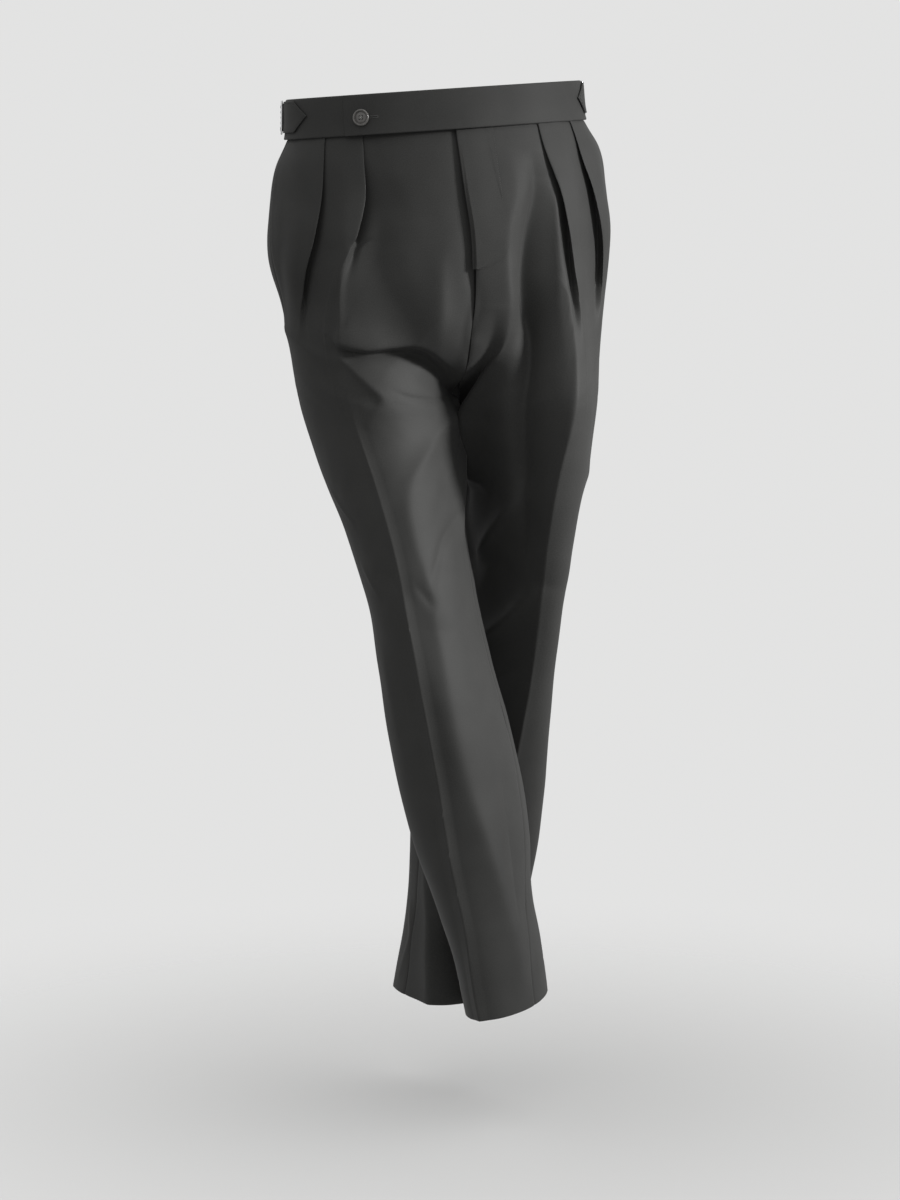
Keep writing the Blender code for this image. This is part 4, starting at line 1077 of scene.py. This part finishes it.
def waist_button(form, finish, thread):
    """A turned four-hole button, dished inside its rim, sewn on with a cross of thread."""
    radius, thick = BUTTON_WIDE / 2, BUTTON_THICK
    profile = [(0.0, 0.0), (0.8, 0.0), (0.9, 0.1), (0.965, 0.28), (0.995, 0.5), (1.0, 0.66), (0.985, 0.84)]
    profile += [(0.95, 0.95), (0.9, 1.0), (0.85, 1.0), (0.8, 0.96), (0.77, 0.82), (0.755, 0.6), (0.73, 0.45)]
    profile += [(0.69, 0.44), (0.66, 0.52), (0.61, 0.6), (0.5, 0.64), (0.3, 0.66), (0.0, 0.66)]
    shape = bmesh.new()
    verts = [shape.verts.new((x * radius * MM, 0.0, z * thick * MM)) for x, z in profile]
    edges = [shape.edges.new(pair) for pair in zip(verts, verts[1:])]
    bmesh.ops.spin(shape, geom=verts + edges, axis=(0, 0, 1), cent=(0, 0, 0), angle=math.tau, steps=72)
    bmesh.ops.remove_doubles(shape, verts=shape.verts, dist=1e-6)
    bmesh.ops.recalc_face_normals(shape, faces=shape.faces[:])
    button = linked("button_blank", mesh_of("waist_button", shape))
    drills = []
    for number in range(4):
        angle = math.tau * (number + 0.5) / 4
        bpy.ops.mesh.primitive_cylinder_add(vertices=20, radius=BUTTON_HOLE / 2 * MM, depth=0.02)
        drill = bpy.context.object
        drill.location = (BUTTON_HOLES * math.cos(angle) * MM, BUTTON_HOLES * math.sin(angle) * MM, 0)
        cut = button.modifiers.new(f"hole_{number}", "BOOLEAN")
        cut.operation, cut.object = "DIFFERENCE", drill
        drills.append(drill)
    cut_mesh = frozen(button)
    for thing in (button, *drills):
        bpy.data.objects.remove(thing, do_unlink=True)
    run = form.run_across(BUTTON_X, BUTTON_DROP)
    place = stand_at(form, BUTTON_DROP, run, tab_low() + TAB_CLOTH + 0.5)
    cut_mesh.transform(place)
    cut_mesh.shade_smooth()
    cut_mesh.set_sharp_from_angle(angle=math.radians(40))
    add_piece("waist_button_horn", cut_mesh, finish, "horn", "waist_button")
    strands = []
    for start in (0, 1):
        angles = [math.tau * (start + part) / 4 for part in (0.5, 2.5)]
        near, far = (Vector((math.cos(a), math.sin(a), 0.0)) * BUTTON_HOLES for a in angles)
        rise = [(0.0, -1.6), (0.02, -0.1), (0.12, 0.3), (0.5, 0.45 + 0.25 * start)]
        arch = rise + [(0.88, 0.3), (0.98, -0.1), (1.0, -1.6)]
        for beside in (-0.16, 0.16):
            aside = (far - near).cross(Vector((0, 0, 1))).normalized() * beside
            strands.append([near.lerp(far, t) + aside + Vector((0, 0, thick * 0.66 + up)) for t, up in arch])
    tubes("waist_button_thread", strands, 0.15, place, thread)


def tubes(name, lines, radius, place, finish):
    """Round threads along lines of points, in one object."""
    made = bpy.data.curves.new(name, "CURVE")
    made.dimensions, made.bevel_depth, made.bevel_resolution = "3D", radius * MM, 3
    made.use_fill_caps = True
    for line in lines:
        spline = made.splines.new("NURBS")
        spline.points.add(len(line) - 1)
        for point, spot in zip(spline.points, line):
            point.co = (*(place @ (Vector(spot) * MM)), 1.0)
        spline.use_endpoint_u, spline.order_u, spline.resolution_u = True, 3, 6
    holder = linked(name, made)
    mesh = frozen(holder)
    bpy.data.objects.remove(holder, do_unlink=True)
    mesh.shade_smooth()
    return add_piece(name, mesh, finish, "wool")


def thread_rings(centre, ahead, out, radius, sides):
    """Rings of points round a line of points, for a thread that runs along it."""
    aside = np.cross(ahead / np.linalg.norm(ahead, axis=-1, keepdims=True), out)
    turn = np.linspace(0.0, math.tau, sides + 1)[:-1]
    ring = np.cos(turn)[:, None] * aside[..., None, :] + np.sin(turn)[:, None] * out[..., None, :]
    return centre[..., None, :] + radius[:, None, None] * ring


def thread_mesh(name, points, faces):
    """A mesh of points in millimetres, with its faces turned outwards."""
    mesh = bpy.data.meshes.new(name)
    mesh.from_pydata((points.reshape(-1, 3) * MM).tolist(), [], faces)
    mesh.update()
    shape = bmesh.new()
    shape.from_mesh(mesh)
    bmesh.ops.recalc_face_normals(shape, faces=shape.faces[:])
    bpy.data.meshes.remove(mesh)
    return mesh_of(name, shape)


def stitches(name, form, path, offset, finish, pitch=2.5, long=1.8, radius=0.2):
    """A row of stitches along a path of runs and drops, each a short thread that dips in at its ends."""
    steps = np.linalg.norm(np.diff(path, axis=0), axis=1)
    along = np.concatenate([[0.0], np.cumsum(steps)])
    starts = np.arange(0.3, along[-1] - long, pitch)
    parts = np.linspace(0.0, 1.0, 7)
    spots = starts[:, None] + parts * long
    runs, drops = (np.interp(spots, along, column) for column in path.T)
    raised = offset + radius * (1.1 - 2.4 * (2 * parts - 1) ** 4)
    centre = form.place(runs, drops, raised + 0 * runs)
    out = form.place(runs, drops, raised + 1.0 + 0 * runs) - centre
    wide = radius * np.sqrt(np.clip(1 - (2 * parts - 1) ** 6, 0.02, 1.0))
    points = thread_rings(centre, np.gradient(centre, axis=1), out, wide, 6)
    number = np.arange(points[..., 0].size).reshape(points.shape[:3])
    nearer, further = number[:, :-1], number[:, 1:]
    quads = np.stack([nearer, further, np.roll(further, -1, 2), np.roll(nearer, -1, 2)], -1).reshape(-1, 4)
    caps = np.concatenate([number[:, 0], number[:, -1, ::-1]])
    add_piece(name, thread_mesh(name, points, quads.tolist() + caps.tolist()), finish, "wool")


def buttonhole(form, finish):
    """The worked buttonhole under the button: a slit with a bead of close stitches round it."""
    middle = form.run_across(BUTTON_X + BUTTONHOLE_ASIDE, BUTTON_DROP)
    turn = np.linspace(0.0, math.tau, 361)[:-1]
    half, wide = 9.5, 0.95
    runs = middle + np.clip(half * 1.25 * np.cos(turn), -half, half)
    drops = BUTTON_DROP + wide * np.clip(np.sin(turn) * 4, -1, 1)
    height = tab_low() + TAB_CLOTH + 0.25
    centre = form.place(runs, drops, height + 0 * runs)
    out = form.place(runs, drops, height + 1.0 + 0 * runs) - centre
    ahead = np.roll(centre, -1, axis=0) - np.roll(centre, 1, axis=0)
    wraps = 0.55 * (1 + 0.12 * np.sin(np.arange(360) * math.tau / 4.5))
    points = thread_rings(centre, ahead, out, wraps, 8)
    number = np.arange(points[..., 0].size).reshape(-1, 8)
    after = np.roll(number, -1, axis=0)
    quads = np.stack([number, after, np.roll(after, -1, 1), np.roll(number, -1, 1)], -1).reshape(-1, 4)
    add_piece("buttonhole_bead", thread_mesh("buttonhole", points, quads.tolist()), finish, "wool")


def fill(owner, node, inputs):
    """Sets a node's inputs to numbers and colours, and links the ones that are another node's output."""
    for socket, value in inputs.items():
        if isinstance(value, bpy.types.NodeSocket):
            owner.node_tree.links.new(value, node.inputs[socket])
        else:
            node.inputs[socket].default_value = value


def add_node(owner, kind, inputs=None):
    node = owner.node_tree.nodes.new("ShaderNode" + kind)
    fill(owner, node, inputs or {})
    return node


def maths(owner, operation, *values):
    node = add_node(owner, "Math")
    node.operation = operation
    fill(owner, node, dict(enumerate(values)))
    return node.outputs["Value"]


def mixed(owner, factor, first, second, kind):
    node = add_node(owner, "Mix")
    node.data_type = kind
    fill(owner, node, {"Factor": factor, "A": first, "B": second})
    return node.outputs["Result"]


def noise(owner, place, scale, detail):
    return add_node(owner, "TexNoise", {"Vector": place, "Scale": scale, "Detail": detail}).outputs["Fac"]


def bumped(owner, height, strength, distance):
    inputs = {"Height": height, "Strength": strength, "Distance": distance}
    return add_node(owner, "Bump", inputs).outputs["Normal"]


def ranged(owner, value, limits, soft=False):
    """A value brought from between the first two limits to between the last two."""
    node = add_node(owner, "MapRange")
    if soft:
        node.interpolation_type = "SMOOTHSTEP"
    fill(owner, node, {"Value": value, **dict(zip(("From Min", "From Max", "To Min", "To Max"), limits))})
    return node.outputs["Result"]


def blank(name):
    made = bpy.data.materials.new(name)
    made.use_nodes = True
    return made


def shade(material, inputs):
    fill(material, material.node_tree.nodes["Principled BSDF"], inputs)
    return material


def wool(name, colour, lighter):
    """Fine worsted: a close twill, flecks of lighter fibre and a slight sheen."""
    made = blank(name)
    cloth = add_node(made, "UVMap")
    cloth.uv_map = "cloth"
    cloth = cloth.outputs["UV"]
    turned = add_node(made, "Mapping", {"Vector": cloth, "Rotation": (0.0, 0.0, math.radians(TWILL_TURN))})
    wave = {"Vector": turned.outputs["Vector"], "Scale": TWILL_SCALE, "Distortion": 0.6}
    twill = add_node(made, "TexWave", wave).outputs["Fac"]
    fleck, cloud = noise(made, cloth, FLECK_SCALE, 3.0), noise(made, cloth, CLOUD_SCALE, 4.0)
    amount = maths(made, "SUBTRACT", maths(made, "MULTIPLY_ADD", cloud, 0.35, fleck), 0.2)
    raised = maths(made, "MULTIPLY_ADD", fleck, 0.6, twill)
    return shade(made, {
        "Base Color": mixed(made, amount, (*colour, 1.0), (*lighter, 1.0), "RGBA"),
        "Normal": bumped(made, raised, 0.25, 0.00012),
        "Roughness": 0.62,
        "Specular IOR Level": 0.14,
        "Sheen Weight": 0.05,
        "Sheen Roughness": 0.45,
    })


def plain(name, colour, rough, grain, scale, metal=0.0, bump=0.00003):
    """Horn, metal or thread: a colour that varies a little, with a fine grain."""
    made = blank(name)
    spots = noise(made, add_node(made, "TexCoord").outputs["Object"], scale, 3.0)
    darker = (*[c * (1 - grain) for c in colour], 1.0)
    lighter = (*[min(c * (1 + grain), 1.0) for c in colour], 1.0)
    return shade(made, {
        "Metallic": metal,
        "Base Color": mixed(made, spots, darker, lighter, "RGBA"),
        "Roughness": ranged(made, spots, (0.0, 1.0, rough * 0.75, rough * 1.25)),
        "Normal": bumped(made, spots, 0.3, bump),
    })


def aimed(name, data, place, target):
    """An object that stands at a place and faces a target."""
    made = linked(name, data)
    made.location = place
    made.rotation_euler = (Vector(target) - Vector(place)).to_track_quat("-Z", "Y").to_euler()
    return made


def light_room():
    """Pale light from all round, brighter from above and from the front. The camera sees an even backdrop."""
    world = bpy.data.worlds.new("room")
    bpy.context.scene.world = world
    world.use_nodes = True
    split = add_node(world, "SeparateXYZ", {"Vector": add_node(world, "TexCoord").outputs["Generated"]})
    front = ranged(world, split.outputs["Y"], (-1.0, 1.0, 1.08, 0.6))
    sky = ranged(world, split.outputs["Z"], (-0.7, 0.9, 0.28, 1.15), soft=True)
    seen = add_node(world, "LightPath").outputs["Is Camera Ray"]
    strength = mixed(world, seen, maths(world, "MULTIPLY", sky, front), ROOM_AS_SEEN, "FLOAT")
    inputs = {"Color": (1.0, 1.0, 0.996, 1.0), "Strength": strength}
    fill(world, world.node_tree.nodes["Background"], inputs)


def lay_floor():
    """A pale round floor that fades out towards its edge."""
    bpy.ops.mesh.primitive_circle_add(
        vertices=96, radius=FLOOR_RADIUS, fill_type="NGON", location=FLOOR_PLACE
    )
    floor = bpy.context.object
    floor.name = "floor"
    paint = blank("pale_floor")
    length = add_node(paint, "VectorMath")
    length.operation = "LENGTH"
    fill(paint, length, {0: add_node(paint, "TexCoord").outputs["Object"]})
    floor.data.materials.append(shade(paint, {
        "Base Color": (0.75, 0.75, 0.747, 1.0),
        "Roughness": 1.0,
        "Specular IOR Level": 0.0,
        "Alpha": ranged(paint, length.outputs["Value"], (0.2, 1.1, 1.0, 0.0), soft=True),
    }))
    return floor


def stage():
    """The camera, the room and its floor, and a soft key light from the right that leaves the floor alone."""
    light_room()
    lamp = bpy.data.lights.new("key", "AREA")
    lamp.shape, lamp.size, lamp.size_y, lamp.energy = "RECTANGLE", 0.9, 0.6, KEY_ENERGY
    lamp.spread = math.radians(KEY_SPREAD)
    key = aimed("key", lamp, KEY_PLACE, KEY_TARGET)
    camera_data = bpy.data.cameras.new("camera")
    camera_data.lens, camera_data.sensor_width = CAMERA_LENS, CAMERA_SENSOR
    bpy.context.scene.camera = aimed("camera", camera_data, CAMERA_PLACE, CAMERA_TARGET)
    unlit = bpy.data.collections.new("not_lit_by_key")
    unlit.objects.link(lay_floor())
    key.light_linking.receiver_collection = unlit
    unlit.collection_objects[0].light_linking.link_state = "EXCLUDE"
    bpy.context.scene.view_settings.view_transform = "Standard"


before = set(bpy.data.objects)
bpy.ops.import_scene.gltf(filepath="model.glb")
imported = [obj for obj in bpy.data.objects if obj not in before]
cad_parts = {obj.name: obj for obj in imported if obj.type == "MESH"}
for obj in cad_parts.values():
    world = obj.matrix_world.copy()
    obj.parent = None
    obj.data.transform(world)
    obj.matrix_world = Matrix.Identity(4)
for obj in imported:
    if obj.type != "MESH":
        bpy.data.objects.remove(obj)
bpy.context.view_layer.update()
stage()
forms = {side: Form(side) for side in SIGN}
charcoal = wool("charcoal_wool", (0.016, 0.016, 0.0154), (0.041, 0.041, 0.0395))
thread = plain("charcoal_thread", (0.03, 0.03, 0.029), 0.5, grain=0.3, scale=3000.0)
pale_thread = plain("grey_thread", (0.3, 0.3, 0.29), 0.5, grain=0.3, scale=3000.0)
horn = plain("dark_horn", (0.085, 0.081, 0.077), 0.2, grain=0.5, scale=260.0)
steel = plain("nickel_steel", (0.75, 0.75, 0.76), 0.18, grain=0.05, scale=1500.0, metal=1.0, bump=0.00001)
for form in forms.values():
    panel(form, "front", charcoal)
    panel(form, "back", charcoal)
    pocket_facing(form, charcoal)
    adjuster_tab(form, charcoal, thread)
    adjuster_strap(form, charcoal)
    adjuster_buckle(form, steel)
waistband_right(forms["right"], charcoal)
waistband_left(forms["left"], forms["right"], charcoal)
fly_placket(forms["left"], forms["right"], charcoal, thread)
waist_button(forms["right"], horn, pale_thread)
buttonhole(forms["right"], thread)
